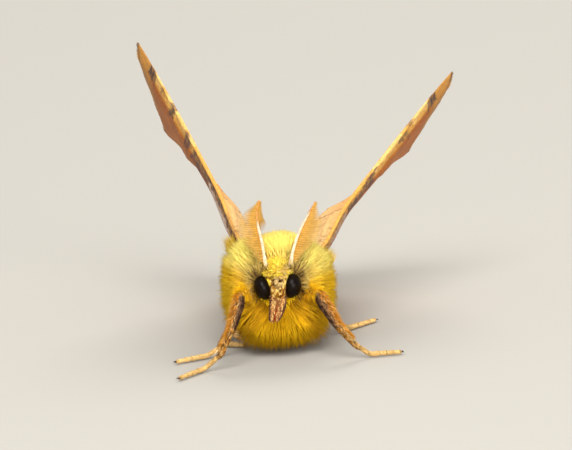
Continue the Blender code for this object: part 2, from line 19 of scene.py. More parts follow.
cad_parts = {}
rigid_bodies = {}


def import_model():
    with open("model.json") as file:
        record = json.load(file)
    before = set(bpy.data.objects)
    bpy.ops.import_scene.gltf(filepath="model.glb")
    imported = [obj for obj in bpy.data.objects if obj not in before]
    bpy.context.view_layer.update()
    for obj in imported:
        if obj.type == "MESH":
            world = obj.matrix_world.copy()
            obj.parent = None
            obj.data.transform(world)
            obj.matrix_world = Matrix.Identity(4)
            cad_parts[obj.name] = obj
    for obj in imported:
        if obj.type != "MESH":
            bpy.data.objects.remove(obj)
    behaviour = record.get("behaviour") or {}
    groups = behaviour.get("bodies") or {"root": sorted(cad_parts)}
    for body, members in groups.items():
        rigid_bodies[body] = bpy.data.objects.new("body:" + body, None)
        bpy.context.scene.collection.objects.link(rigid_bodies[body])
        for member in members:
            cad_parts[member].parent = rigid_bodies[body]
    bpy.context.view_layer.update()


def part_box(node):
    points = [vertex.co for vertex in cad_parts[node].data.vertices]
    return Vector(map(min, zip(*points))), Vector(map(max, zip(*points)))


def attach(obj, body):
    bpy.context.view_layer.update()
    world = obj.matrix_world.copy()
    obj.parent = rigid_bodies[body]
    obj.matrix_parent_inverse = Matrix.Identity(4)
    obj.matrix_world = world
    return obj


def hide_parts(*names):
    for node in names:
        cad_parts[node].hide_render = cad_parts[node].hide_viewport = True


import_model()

# %% [markdown]
# ## Millimetres to metres
#
# The frame's origin lies under the middle of the moth's box. The right eye's middle is known in both
# systems, so the difference between the two is the shift. Measuring it beats typing it: if the solids
# move, the drawing moves with them.

# %% Find the shift between the drawing and the frame
MM = 0.001
EYE_MIDDLE = {"right": Vector((-0.95, 0.05, 4.25)), "left": Vector((0.95, 0.05, 4.25))}

eye_low, eye_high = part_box("eye_right")
SHIFT = (eye_low + eye_high) / 2 - EYE_MIDDLE["right"] * MM


def to_frame(point):
    return Vector(point) * MM + SHIFT


print("shift in mm:", [round(c * 1000, 3) for c in SHIFT])

# %% [markdown]
# ## The camera
#
# A long lens a quarter of a metre away looks the moth in the face, from 13 degrees above and a touch to
# one side, and is rolled a little, as a hand-held camera is. A long lens keeps the far wing tips nearly as
# large as the near ones, which is how close-ups of insects look.
#
# Blender's usual view transform, AgX, turns bright yellow pale, so the view is set to Standard.

# %% Place the camera
CAMERA_TURN, CAMERA_RISE, CAMERA_ROLL = (math.radians(a) for a in (-3.0, 13.0, 3.5))
CAMERA_PLACE = Vector((-11.99, -242.49, 64.01))
LENS, SENSOR, NEAREST = 267.5, 36.0, 0.005      # millimetres, millimetres and metres


def add_object(name, data):
    obj = bpy.data.objects.new(name, data)
    bpy.context.scene.collection.objects.link(obj)
    return obj


back = Vector((math.sin(CAMERA_TURN) * math.cos(CAMERA_RISE), -math.cos(CAMERA_TURN) * math.cos(CAMERA_RISE),
               math.sin(CAMERA_RISE)))
level = (-back).cross(Vector((0, 0, 1))).normalized()
upright = level.cross(-back)
right = level * math.cos(CAMERA_ROLL) - upright * math.sin(CAMERA_ROLL)
up = upright * math.cos(CAMERA_ROLL) + level * math.sin(CAMERA_ROLL)

camera_data = bpy.data.cameras.new("camera")
camera_data.lens, camera_data.sensor_width, camera_data.clip_start = LENS, SENSOR, NEAREST
camera = add_object("camera", camera_data)
turned = Matrix((right, up, back)).transposed().to_4x4()
camera.matrix_world = Matrix.Translation(to_frame(CAMERA_PLACE)) @ turned
bpy.context.scene.camera = camera
bpy.context.scene.view_settings.view_transform = "Standard"
print("camera at", [round(c * 1000, 1) for c in camera.location], "mm, lens", camera_data.lens)

# %% [markdown]
# ## The floor
#
# The floor is a plain pale sheet, wide enough that the camera sees no edge. Its material is the first of
# many, so a small function starts them all: a new material has one shader, Principled BSDF, and needs
# little more than its roughness and how strongly it mirrors.

# %% Lay the floor
FLOOR_SIZE, FLOOR_DROP = 3.0, 0.00002       # metres; it lies a hair below the feet, never in one plane


def new_finish(name, roughness, mirror):
    mat = bpy.data.materials.new(name)
    mat.use_nodes = True
    shader = mat.node_tree.nodes["Principled BSDF"]
    shader.inputs["Roughness"].default_value = roughness
    shader.inputs["Specular IOR Level"].default_value = mirror
    return mat, mat.node_tree, shader


bpy.ops.mesh.primitive_plane_add(size=FLOOR_SIZE, location=(0, 0, -FLOOR_DROP))
floor = bpy.context.object
floor.name = "floor"
floor_paint, _, floor_shader = new_finish("floor_paint", 0.85, 0.5)
floor_shader.inputs["Base Color"].default_value = (0.4, 0.385, 0.35, 1)
floor.data.materials.append(floor_paint)
print("floor:", FLOOR_SIZE, "m wide")

# %% [markdown]
# ## The light
#
# One large soft light from high in front, a little to the left, shapes the fur. A weaker one, low in
# front, fills the shadows under the eyes, and a third behind lets the wings and the fur's edge glow. The
# sky's even light keeps shadows open.

# %% Hang the lights
LIGHT_AIM = Vector((0, 0, 0.006))           # over the moth's middle
SKY_COLOUR, SKY_STRENGTH = (0.9, 0.89, 0.87, 1), 0.6


def soft_light(name, place, size, power, colour):
    data = bpy.data.lights.new(name, "AREA")
    data.shape, data.size, data.energy, data.color = "DISK", size, power, colour
    lamp = add_object(name, data)
    lamp.location = place
    lamp.rotation_euler = (LIGHT_AIM - Vector(place)).to_track_quat("-Z", "Y").to_euler()
    print(f"{name}: {size} m across, {power} W")


soft_light("key_light", (-0.045, -0.29, 0.36), 0.36, 2.4, (1.0, 0.98, 0.95))
soft_light("fill_light", (0.1, -0.34, 0.08), 0.3, 1.25, (1.0, 0.98, 0.96))
soft_light("back_light", (0.06, 0.28, 0.3), 0.24, 1.0, (1.0, 0.97, 0.92))
world = bpy.data.worlds.new("room")
world.use_nodes = True
sky = world.node_tree.nodes["Background"]
sky.inputs["Color"].default_value, sky.inputs["Strength"].default_value = SKY_COLOUR, SKY_STRENGTH
bpy.context.scene.world = world

# %% [markdown]
# ## Finishes
#
# Every scale and hair of a moth is dull and coloured all through, so one recipe serves them all: the
# colour comes from an attribute that the mesh carries, a noise varies it from scale to scale, and a fine
# noise gives bump. Storing colour on the mesh keeps skin and fur in step, since both ask one function
# what colour a place on the moth has.
#
# Wiring nodes by hand is wordy. These helpers add one node each and hand back its output, so that a
# material reads like a sum.

# %% Helpers that add nodes
def add_node(tree, kind, settings=None, inputs=None):
    node = tree.nodes.new(kind)
    for key, value in (settings or {}).items():
        setattr(node, key, value)
    for key, value in (inputs or {}).items():
        if isinstance(value, bpy.types.NodeSocket):
            tree.links.new(value, node.inputs[key])
        else:
            node.inputs[key].default_value = value
    return node


def mix_colour(tree, factor, first, second, blend="MIX"):
    node = add_node(tree, "ShaderNodeMix", {"data_type": "RGBA", "blend_type": blend},
                    {"Factor": factor, "A": first, "B": second})
    return node.outputs["Result"]


def attribute(tree, name, output):
    return add_node(tree, "ShaderNodeAttribute", {"attribute_name": name}).outputs[output]


# %% Noise, ranges and relief
def noise(tree, vector, scale, detail=2.0, output="Fac"):
    inputs = {"Vector": vector, "Scale": scale, "Detail": detail}
    return add_node(tree, "ShaderNodeTexNoise", inputs=inputs).outputs[output]


def map_range(tree, value, low, high, first=0.0, last=1.0, curve="LINEAR"):
    """Turns low..high into first..last, and stays there beyond."""
    inputs = {"Value": value, "From Min": low, "From Max": high, "To Min": first, "To Max": last}
    return add_node(tree, "ShaderNodeMapRange", {"interpolation_type": curve}, inputs).outputs["Result"]


def lightened(tree, colour, by):
    grey = add_node(tree, "ShaderNodeCombineColor", inputs={"Red": by, "Green": by, "Blue": by})
    return mix_colour(tree, 1.0, colour, grey.outputs["Color"], "MULTIPLY")


def add_relief(tree, shader, height, strength, depth, invert=False):
    relief = add_node(tree, "ShaderNodeBump", {"invert": invert},
                      {"Height": height, "Strength": strength, "Distance": depth})
    tree.links.new(relief.outputs["Normal"], shader.inputs["Normal"])


# %% [markdown]
# Hairs are darker and redder at their roots, where they lie in each other's shade. The attribute `along`
# runs from 0 at a hair's root to 1 at its tip, and `dark_root` says how much of that shade to paint.

# %% Mix the finishes of scales and hairs
SCALE_RELIEF = 0.00003      # metres


def scale_finish(name, grain, bump, roughness, variation, mirror, dark_root=0.0):
    """Attribute colour, varied by noise with `grain` patches a millimetre."""
    mat, tree, shader = new_finish(name, roughness, mirror)
    colour = attribute(tree, "coat_colour", "Color")
    place = add_node(tree, "ShaderNodeTexCoord").outputs["Object"]
    lift = map_range(tree, noise(tree, place, grain * 1000.0, 3.0), 0.3, 0.7, 1.0 - variation, 1.0 + variation)
    if dark_root:
        up_the_hair = map_range(tree, attribute(tree, "along", "Fac"), 0.0, 0.75)
        shade = (1.0 - dark_root, 1.0 - 1.5 * dark_root, 1.0 - 2.0 * dark_root, 1.0)
        colour = mix_colour(tree, up_the_hair, mix_colour(tree, 1.0, colour, shade, "MULTIPLY"), colour)
    tree.links.new(lightened(tree, colour, lift), shader.inputs["Base Color"])
    add_relief(tree, shader, noise(tree, place, grain * 4000.0), bump, SCALE_RELIEF)
    print(f"{name}: {len(tree.nodes)} nodes")
    return mat


fur_finish = scale_finish("fur_finish", 1.6, 0.25, roughness=0.65, variation=0.12, mirror=0.08, dark_root=0.24)
skin_finish = scale_finish("skin_finish", 3.0, 0.6, roughness=0.75, variation=0.3, mirror=0.1)
scale_coat_finish = scale_finish("scale_coat_finish", 5.0, 0.3, roughness=0.7, variation=0.3, mirror=0.1,
                                 dark_root=0.2)
comb_finish = scale_finish("comb_finish", 4.0, 0.3, roughness=0.7, variation=0.15, mirror=0.12)

# %% [markdown]
# ## Where the colours lie
#
# The thorax is canary yellow, and painted light and shade lie in its colours: paler on the shoulders,
# which is painted light from above, full yellow on the sides, deeper gold on the breast, partly its own
# colour and partly painted shade, and orange-brown painted shade in the hollows beside the front legs.
# Under the eyes the yellow is brightened, painted light against the shade of the head. A grey-brown veil
# of hairs frames each eye. These functions answer for any point, in millimetres, so markings stay put
# however dense the fur is.
#
# Soft borders come from `smoothstep`, which climbs from 0 to 1 between two heights. Given the higher one
# first, it falls instead.

# %% Colours of the thorax
def smoothstep(low, high, x):
    t = np.clip((np.asarray(x, float) - low) / (high - low), 0.0, 1.0)
    return t * t * (3.0 - 2.0 * t)


def painted(colour, count):
    """One colour for each of so many places."""
    return np.tile(np.array(colour), (count, 1))


def blend_to(colours, target, weight):
    weight = np.clip(np.asarray(weight, float), 0.0, 1.0)[..., None]
    return colours * (1.0 - weight) + np.asarray(target, float) * weight


CANARY_PAINTED_LIGHT, CANARY, GOLD_AND_PAINTED_SHADE = (1.0, 0.77, 0.17), (0.92, 0.55, 0.01), (0.57, 0.3, 0.002)
BELOW_EYES_PAINTED_LIGHT, HOLLOW_PAINTED_SHADE, VEIL_GREY = (1.0, 0.62, 0.01), (0.4, 0.155, 0.004), (0.5, 0.35, 0.12)


def thorax_colour(points):
    x, y, z = points.T
    # Paler towards the top: painted light, where the light from above falls on the shoulders.
    colours = blend_to(painted(CANARY, len(points)), CANARY_PAINTED_LIGHT, smoothstep(4.5, 5.6, z + 0.1 * x))
    # Deeper gold towards the breast and the bottom: partly the fur's own colour, partly painted shade under the
    # body.
    colours = blend_to(colours, GOLD_AND_PAINTED_SHADE, smoothstep(3.6, 1.0, z) * smoothstep(3.6, 0.8, y))
    colours = blend_to(colours, GOLD_AND_PAINTED_SHADE, 0.6 * smoothstep(2.2, 0.6, z))
    for side in (-1.0, 1.0):
        # Orange-brown painted shade in the hollows beside the front legs.
        hollow = np.hypot((x - side * 2.05) / 0.7, (z - 2.5) / 1.6)
        colours = blend_to(colours, HOLLOW_PAINTED_SHADE, 0.85 * smoothstep(1.2, 0.4, hollow) * smoothstep(2.2, 0.6, y))
        ring = np.hypot((x - side * 1.15) / 1.0, (z - 4.35) / 1.25)
        colours = blend_to(colours, VEIL_GREY, 0.5 * smoothstep(1.05, 0.7, ring) * smoothstep(1.5, 0.5, y))
    # Painted light: under the eyes the yellow is brightened against the shade of the head.
    under = np.hypot(x / 1.7, (z - 3.2) / 0.8)
    return blend_to(colours, BELOW_EYES_PAINTED_LIGHT, 0.9 * smoothstep(1.3, 0.9, under) * smoothstep(2.0, 1.0, y))


for where, spot in (("shoulder", (0.0, 3.2, 6.5)), ("side", (3.2, 3.2, 3.5)), ("breast", (0.0, 0.4, 1.5))):
    print("the thorax's", where, thorax_colour(np.array([spot]))[0].round(2))

# %% [markdown]
# The abdomen is ochre with paler rings, and turns canary where the long fur of the thorax hangs over it.
# The head has more borders than the rest: a yellow crown, a dull tan patch on the forehead, brown below
# it, and a dark and a yellow rim towards each eye. Its sides beside the eyes are darkened with painted shade.

# %% Colours of the abdomen and the head
OCHRE, OCHRE_PALE = (0.72, 0.47, 0.13), (0.82, 0.62, 0.26)
RING_START, RING_STEP = 5.7, 1.25           # where the first ring of the abdomen lies, and from ring to ring
CROWN_YELLOW, BROW_TAN, FACE_BROWN = (0.9, 0.66, 0.07), (0.66, 0.42, 0.045), (0.42, 0.18, 0.018)
FOREHEAD_TAN, CHIN_BROWN, SIDE_PAINTED_SHADE = (0.34, 0.2, 0.06), (0.4, 0.18, 0.07), (0.22, 0.13, 0.05)
DARK_RIM, YELLOW_RIM = (0.14, 0.07, 0.03), (0.94, 0.66, 0.06)


def abdomen_colour(points):
    y = points[:, 1]
    rings = 0.5 + 0.5 * np.cos(2 * np.pi * (y - RING_START) / RING_STEP)
    colours = blend_to(painted(OCHRE, len(points)), OCHRE_PALE, 0.7 * rings)
    return blend_to(colours, CANARY, smoothstep(7.4, 6.0, y))


def forehead(points):
    """Below 1 on the tan patch of the forehead, and more the further from it."""
    return np.hypot(points[:, 0] / 0.3, (points[:, 2] - 4.74) / 0.32)


def head_colour(points):
    x, y, z = points.T
    beside = np.abs(x)
    colours = blend_to(painted(CROWN_YELLOW, len(points)), BROW_TAN, smoothstep(5.3, 4.95, z))
    colours = blend_to(colours, FACE_BROWN, smoothstep(5.0, 4.7, z))
    patch = smoothstep(1.2, 0.85, forehead(points)) * smoothstep(0.2, -0.3, y)
    colours = blend_to(colours, FOREHEAD_TAN, patch)
    colours = blend_to(colours, CHIN_BROWN, smoothstep(3.85, 3.5, z))
    colours = blend_to(colours, DARK_RIM, 0.85 * smoothstep(0.36, 0.48, beside) * smoothstep(4.6, 4.35, z))
    colours = blend_to(colours, YELLOW_RIM, smoothstep(0.36, 0.44, beside) * smoothstep(4.45, 4.6, z))
    # Painted shade on the sides of the head, beside the eyes.
    return blend_to(colours, SIDE_PAINTED_SHADE, 0.9 * smoothstep(0.62, 0.8, beside))


for where, spot in (("crown", (0.0, 0.0, 5.4)), ("forehead", (0.0, -0.5, 4.74)), ("chin", (0.0, -0.8, 3.5))):
    print("the head's", where, head_colour(np.array([spot]))[0].round(2))

# %% [markdown]
# ## Meshes that carry their colour
#
# Shapes are drawn as lists of points in millimetres, and only these helpers turn them into Blender's
# metres and back. `coat_colour` and `along` are attributes, one value a vertex, and the finishes read them.

# %% Make, colour and read a mesh
def mesh_object(name, verts, faces, finish):
    """A smooth mesh object from millimetre points and a list of faces."""
    mesh = bpy.data.meshes.new(name)
    metres = np.asarray(verts, float) * MM + np.array(SHIFT)
    mesh.from_pydata(metres.tolist(), [], faces)
    mesh.update()
    mesh.shade_smooth()
    mesh.materials.append(finish)
    return add_object(name, mesh)


def set_colours(obj, colours, along=None):
    data = np.ones((len(colours), 4))
    data[:, :3] = colours
    layer = obj.data.attributes.new("coat_colour", "FLOAT_COLOR", "POINT")
    layer.data.foreach_set("color", data.ravel())
    if along is not None:
        layer = obj.data.attributes.new("along", "FLOAT", "POINT")
        layer.data.foreach_set("value", along)


def unit(vectors):
    return vectors / np.maximum(np.linalg.norm(vectors, axis=-1, keepdims=True), 1e-9)


def mesh_points(obj):
    """A mesh's vertices, in millimetres, and its smooth normals."""
    found = []
    for key in ("co", "normal"):
        values = np.empty(len(obj.data.vertices) * 3)
        obj.data.vertices.foreach_get(key, values)
        found.append(values.reshape(-1, 3))
    return (found[0] - np.array(SHIFT)) / MM, found[1]


print("a way of (3, 4, 0), made one long:", unit(np.array((3.0, 4.0, 0.0))))

# %% [markdown]
# ## Growing a coat
#
# A hair or scale is a thin three-sided blade along a curve: it leaves the skin at one angle and bends
# over to another, along the lie of the coat. A particle system would be easier to click together, but its
# hairs vanish on export, so the blades are real mesh. Arrays of numbers make all of them at once.
#
# Each blade has ten points: three rings of three, and a tip.

# %% Bend the blades
RING_WIDTHS = (0.85, 1.0, 0.7)      # of the blade's full width
BLADE_POINTS = 10


def along_skin(ways, normals):
    """Each way, pressed flat onto the skin and one millimetre long."""
    return unit(ways - normals * np.sum(ways * normals, axis=1, keepdims=True))


def blade_points(roots, normals, lies, lengths, widths, angles, sunk, flat):
    across = np.cross(normals, lies)
    start, end = (np.radians(np.broadcast_to(angle, len(roots)))[:, None] for angle in angles)
    steps = len(RING_WIDTHS)
    verts = np.empty((len(roots), BLADE_POINTS, 3))
    spot = roots - normals * sunk
    for k, size in enumerate(RING_WIDTHS):
        angle = start * (1 - k / steps) + end * (k / steps)
        thick = normals * np.cos(angle) - lies * np.sin(angle)
        half = (widths * 0.5 * size)[:, None]
        verts[:, k * 3] = spot + across * half
        verts[:, k * 3 + 1] = spot - across * half
        verts[:, k * 3 + 2] = spot + thick * half * flat * 2.0
        t = (k + 0.5) / steps
        angle = start * (1 - t) + end * t
        spot = spot + (normals * np.sin(angle) + lies * np.cos(angle)) * (lengths / steps)[:, None]
    verts[:, BLADE_POINTS - 1] = spot
    return verts


def blade_faces(count):
    pattern = []
    for k in (0, 3):
        for i in range(3):
            j = (i + 1) % 3
            pattern += [(k + i, k + j, k + 3 + j), (k + i, k + 3 + j, k + 3 + i)]
    pattern += [(6 + i, 6 + (i + 1) % 3, 9) for i in range(3)]
    return (np.array(pattern)[None] + (np.arange(count) * BLADE_POINTS)[:, None, None]).reshape(-1, 3)


print("a blade has", len(blade_faces(1)), "triangles")

# %% [markdown]
# `from_pydata` is slow for a million triangles. `foreach_set` hands whole arrays to Blender at once, which
# is much faster, but then the loops and polygons have to be counted out first.
#
# Each blade also gets a tiny patch in a UV map, at the place of its root on an unwrapped skin. A baker
# then gives the blade the colour of its own root and not that of a neighbour. Most skins here are round,
# so they are unwrapped like a globe, around a middle.

# %% A quick mesh and its UV places
UV_PATCH = 0.003
UV_CORNERS = np.array([(0, 0), (1, 0), (0.5, 0.2), (0, 0.4), (1, 0.4), (0.5, 0.5), (0.1, 0.7), (0.9, 0.7),
                       (0.5, 0.8), (0.5, 1)])
LOWEST_HAIR = 0.008                 # millimetres above the floor
THORAX_MIDDLE = np.array((0.2, 3.2, 3.55))
STRAIGHT_UP = np.array((0.0, 0.0, 1.0))
rng = np.random.default_rng(11)


def quick_mesh(name, verts, faces):
    mesh = bpy.data.meshes.new(name)
    mesh.vertices.add(len(verts))
    mesh.vertices.foreach_set("co", (verts * MM + np.array(SHIFT)).ravel())
    mesh.loops.add(faces.size)
    mesh.loops.foreach_set("vertex_index", faces.ravel())
    mesh.polygons.add(len(faces))
    mesh.polygons.foreach_set("loop_start", np.arange(0, faces.size, 3))
    mesh.update(calc_edges=True)
    mesh.validate()
    mesh.shade_smooth()
    return mesh


def globe_places(points, middle):
    away = unit(points - middle)
    east = np.arctan2(away[:, 0], away[:, 1]) / (2 * np.pi) + 0.5
    return np.stack([east, np.arccos(np.clip(away[:, 2], -1, 1)) / np.pi], 1)


print("UV patches", UV_PATCH, "wide;", "a point straight up from the thorax lies at",
      globe_places(THORAX_MIDDLE[None] + STRAIGHT_UP, THORAX_MIDDLE)[0].round(2))

# %% [markdown]
# The coat maker puts all of this together. Each coat asks for its own lengths, widths, angles and colours.
# The widths are drawn in here, as the last of its random numbers, and the points of any blade that would
# dip into the floor are lifted onto it.

# %% The coat maker
def grow_coat(name, roots, normals, lies, lengths, widths, angles, colours, finish, middle=THORAX_MIDDLE,
              uv_places=None, sunk=0.05, flat=0.45, tips=None):
    """Blades from roots. `widths` are the least and the greatest, `angles` those of root and tip above the
    skin in degrees, `sunk` how deep a root sits and `flat` a blade's thickness as a share of its width."""
    count = len(roots)
    widths = rng.uniform(*widths, count)
    verts = blade_points(roots, normals, along_skin(lies, normals), lengths, widths, angles, sunk, flat)
    verts[:, :, 2] = np.maximum(verts[:, :, 2], LOWEST_HAIR)
    faces = blade_faces(count)
    mesh = quick_mesh(name, verts.reshape(-1, 3), faces)
    mesh.materials.append(finish)
    coat = add_object(name, mesh)
    along = np.tile(np.repeat((0.0, 0.33, 0.67, 1.0), (3, 3, 3, 1)), count)
    tints = np.repeat(colours, BLADE_POINTS, axis=0)
    if tips is not None:
        tints = tints * (1 - along[:, None]) + np.repeat(tips, BLADE_POINTS, axis=0) * along[:, None]
    set_colours(coat, tints, along)
    if uv_places is None:
        uv_places = globe_places(roots, middle)
    spread = np.clip(uv_places, 0.005, 0.995)[:, None, :] + (UV_CORNERS[None] - 0.5) * UV_PATCH
    layer = mesh.uv_layers.new(name="OFBake")
    layer.data.foreach_set("uv", spread.reshape(-1, 2)[faces.ravel()].ravel())
    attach(coat, "root")
    print(f"{name}: {count} blades, {len(faces)} triangles")
    return coat


# %% [markdown]
# Roots are scattered evenly: a triangle is picked as often as its area says, and a place within it by
# two random numbers, folded back where they leave the triangle.

# %% Scatter roots on a skin
def scatter(obj, count):
    """Even random points on a mesh object, in millimetres, with its smooth normals."""
    verts, normals = mesh_points(obj)
    obj.data.calc_loop_triangles()
    tris = np.empty(len(obj.data.loop_triangles) * 3, dtype=np.int32)
    obj.data.loop_triangles.foreach_get("vertices", tris)
    tris = tris.reshape(-1, 3)
    a, b, c = (verts[tris[:, i]] for i in range(3))
    area = np.linalg.norm(np.cross(b - a, c - a), axis=1)
    pick = rng.choice(len(tris), size=count, p=area / area.sum())
    u, v = rng.random(count), rng.random(count)
    over = u + v > 1
    u[over], v[over] = 1 - u[over], 1 - v[over]
    shares = [share[:, None] for share in (1 - u - v, u, v)]

    def between_corners(values):
        return sum(values[tris[pick, i]] * share for i, share in enumerate(shares))

    return between_corners(verts), unit(between_corners(normals))


def paler(colours, by=1.1):
    return np.clip(colours * by, 0, 1)


def within(values, low, high):
    return (values > low) & (values < high)


print("canary yellow, a little paler:", paler(np.array(CANARY)).round(2))

# %% [markdown]
# ## The skin
#
# Under the fur a moth's head, thorax and abdomen are one body with two narrow necks. Overlapping
# ellipsoids give its masses, and a voxel remesh melts them into one surface without seams. It stays
# inside the solids by the depth of the coat, since the fur will fill the rest.

# %% Place the body's masses
ABDOMEN_MASSES = [((0.15 - 0.005 * k, 6.0 + 0.62 * k, 3.1 - 0.245 * k + 0.0075 * k * k), 1.3 - 0.052 * k)
                  for k in range(13)]
BODY_MASSES = [((0.2, 3.2, 3.55), (2.3, 2.45, 2.4)), ((0.0, 0.35, 4.45), (0.93, 0.88, 1.0)),
               ((0.0, -0.05, 4.2), (0.48, 0.82, 0.92)), ((0.0, 1.1, 4.2), (1.0, 0.9, 0.95))]
BODY_MASSES += [(middle, (size, 0.95, size * 0.96)) for middle, size in ABDOMEN_MASSES]


def ball_mesh(name, matrices, around, rings):
    """One mesh of round balls, each placed and squashed by its matrix."""
    bm = bmesh.new()
    for matrix in matrices:
        bmesh.ops.create_uvsphere(bm, u_segments=around, v_segments=rings, radius=1.0, matrix=matrix)
    mesh = bpy.data.meshes.new(name)
    bm.to_mesh(mesh)
    bm.free()
    return mesh


print("body:", len(BODY_MASSES), "masses")

# %% [markdown]
# A remesh modifier does the melting. A smoothing modifier after it wipes off the steps of the voxels. The
# result is taken as a mesh of its own, so that its points can be read and coloured.

# %% Melt them into one skin and colour it
MELT_VOXEL = 0.00013        # metres


def body_colour(points):
    """The skin's colour anywhere: abdomen, thorax or head."""
    y = points[:, 1:2]
    colours = np.where(y > 6.0, abdomen_colour(points), thorax_colour(points))
    return np.where(y < 1.0, head_colour(points), colours)


skin = add_object("body_skin", ball_mesh("body_skin", [
    Matrix.Translation(to_frame(middle)) @ Matrix.Diagonal((*[s * MM for s in size], 1.0))
    for middle, size in BODY_MASSES], 32, 20))
melt = skin.modifiers.new("melt", "REMESH")
melt.mode, melt.voxel_size = "VOXEL", MELT_VOXEL
skin.modifiers.new("soften", "SMOOTH").iterations = 6
melted = bpy.data.meshes.new_from_object(skin.evaluated_get(bpy.context.evaluated_depsgraph_get()))
skin.modifiers.clear()
skin.data = melted
melted.shade_smooth()
melted.materials.clear()
melted.materials.append(skin_finish)
skin_points = mesh_points(skin)[0]
set_colours(skin, body_colour(skin_points))
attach(skin, "root")
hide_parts("head", "thorax", "abdomen")
print("skin:", len(skin.data.polygons), "faces, low point", round(skin_points[:, 2].min(), 2), "mm")

# %% [markdown]
# ## Eyes
#
# A moth's eye is a black dome packed with thousands of lenses, too small to see one by one: they only
# break up the gloss a little. A UV sphere squashed to the eye's size, with a faint cell pattern as bump,
# reads true from close by. The lenses' pits are drawn as hills, so the bump is turned inside out.

# %% Mix the finish of the eyes
LENS_RELIEF = 0.00001       # metres

eye_finish, tree, gloss = new_finish("eye_finish", 0.3, 0.05)
gloss.inputs["Coat Weight"].default_value = 0.06
gloss.inputs["Coat Roughness"].default_value = 0.06
place = add_node(tree, "ShaderNodeTexCoord").outputs["Object"]
tones = add_node(tree, "ShaderNodeValToRGB", inputs={"Fac": noise(tree, place, 2500.0)})
tones.color_ramp.elements[0].color = (0.002, 0.0015, 0.0015, 1)
tones.color_ramp.elements[1].color = (0.009, 0.004, 0.0015, 1)
tree.links.new(tones.outputs["Color"], gloss.inputs["Base Color"])
lenses = add_node(tree, "ShaderNodeTexVoronoi", {"feature": "F1"}, {"Vector": place, "Scale": 26000.0})
add_relief(tree, gloss, lenses.outputs["Distance"], 0.12, LENS_RELIEF, invert=True)
print("eye_finish:", len(tree.nodes), "nodes")

# %% [markdown]
# The head is turned a little, so the two eyes don't look alike from the front: each has its own width,
# and leans and stands off to the side by its own amount.

# %% Set the domes
EYE_SIZE = Vector((0.47, 0.72, 0.73))
EYE_LOOKS = {"right": (1.11, -12.0, 0.085), "left": (1.22, 8.0, -0.11)}     # width, degrees, millimetres

for side, (wide, lean, sideways) in EYE_LOOKS.items():
    size = EYE_SIZE * MM
    middle = EYE_MIDDLE[side] + Vector((sideways, 0.0, 0.0))
    tilt = Matrix.Rotation(math.radians(lean), 4, "Y")
    matrix = Matrix.Translation(to_frame(middle)) @ tilt @ Matrix.Diagonal((size.x * wide, size.y, size.z, 1.0))
    mesh = ball_mesh("eye_dome_" + side, [matrix], 64, 40)
    mesh.shade_smooth()
    mesh.materials.append(eye_finish)
    dome = add_object("eye_dome_" + side, mesh)
    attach(dome, "root")
    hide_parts("eye_" + side)
    print("eye_dome_" + side, "leans by", lean, "degrees")

# %% [markdown]
# ## The fur of the thorax
#
# The fur parts around the face like petals: every hair points away from it, stands up steeply near its
# root and bends over towards its tip. The tips end on a slightly squared ball, and they get their length
# from that ball, so the outline is the one the photograph shows. Stray hairs reach a little further.
#
# There is no formula for how far a hair may grow, so its length is found by halving: is the tip still
# inside at 2 mm? Then try 3, or else 1, and so on.

# %% Find how long a hair may be
FUR_MIDDLE = np.array((0.16, 2.9, 3.55))
FUR_SIZE = np.array((3.57, 3.3, 3.42))
SQUARED = 2.35                          # 2 is a plain ellipsoid; more makes it squarer
LEFT_SHOULDER, CREST = 6.98, 7.72       # planes that trim the ball beside the left wing and on top
LONGEST, HALVINGS = 4.0, 18


def inside_fur(spots):
    x, y, z = spots.T
    tips = (spots - FUR_MIDDLE) / FUR_SIZE
    chin = np.clip(-tips[:, 1], 0, 1) * np.clip(-tips[:, 2], 0, 1)
    shoulder = smoothstep(4.8, 5.8, z) * smoothstep(1.2, 2.0, np.abs(x))
    height = z + 0.23 * y
    inside = np.sum(np.abs(tips) ** SQUARED, axis=1) < 1.0 + 0.9 * chin + 0.13 * shoulder
    inside &= 0.6 * x + 0.8 * height < LEFT_SHOULDER
    return inside & (height < CREST - 0.24 * np.minimum((x - 0.45) ** 2, 1.3))


def fur_reach(points, ways):
    """How far a way from a point runs before it leaves the fur's outline."""
    low, high = np.zeros(len(points)), np.full(len(points), LONGEST)
    for _ in range(HALVINGS):
        mid = (low + high) / 2
        inside = inside_fur(points + ways * mid[:, None])
        low, high = np.where(inside, mid, low), np.where(inside, high, mid)
    return low


fur_above = fur_reach(THORAX_MIDDLE[None], STRAIGHT_UP[None])[0]
print("from the middle of the thorax to the top of its fur:", round(fur_above, 2), "mm")

# %% [markdown]
# Real fur gathers in locks. `clump` cuts space into small cells and gives all hairs of one cell the same
# random shift, of their lie, their length or their tone. A hash turns a cell's three numbers into one.

# %% Choose roots and lies
FACE_POINT = np.array((0.0, -1.2, 4.25))        # the point that all hairs lie away from
CELL_TABLE = 0x10000


def thorax_roots(count):
    points, normals = scatter(skin, count)
    keep = within(points[:, 1], np.where(points[:, 2] > 5.05, 0.45, 0.75), 6.2)
    head_like = np.hypot(points[:, 0], points[:, 2] - 4.4) < 0.95
    keep &= ~(head_like & (points[:, 1] < 1.3) & (points[:, 2] < 5.05))
    return points[keep], normals[keep]


def lie_away_from_face(points, normals):
    lies = points - FACE_POINT
    lies[:, 2] -= 0.6 * smoothstep(3.0, 1.0, points[:, 2])
    lies += rng.normal(0.0, 0.16, lies.shape) * np.linalg.norm(lies, axis=1, keepdims=True)
    return along_skin(lies, normals)


def clump(values, points, size, amount):
    """Shift values alike within small patches, so hairs gather in locks."""
    cells = np.floor(points / size).astype(int)
    keys = (cells[:, 0] * 73856093 ^ cells[:, 1] * 19349663 ^ cells[:, 2] * 83492791) & (CELL_TABLE - 1)
    table = rng.normal(0.0, amount, (CELL_TABLE,) + values.shape[1:])
    return values + table[keys]


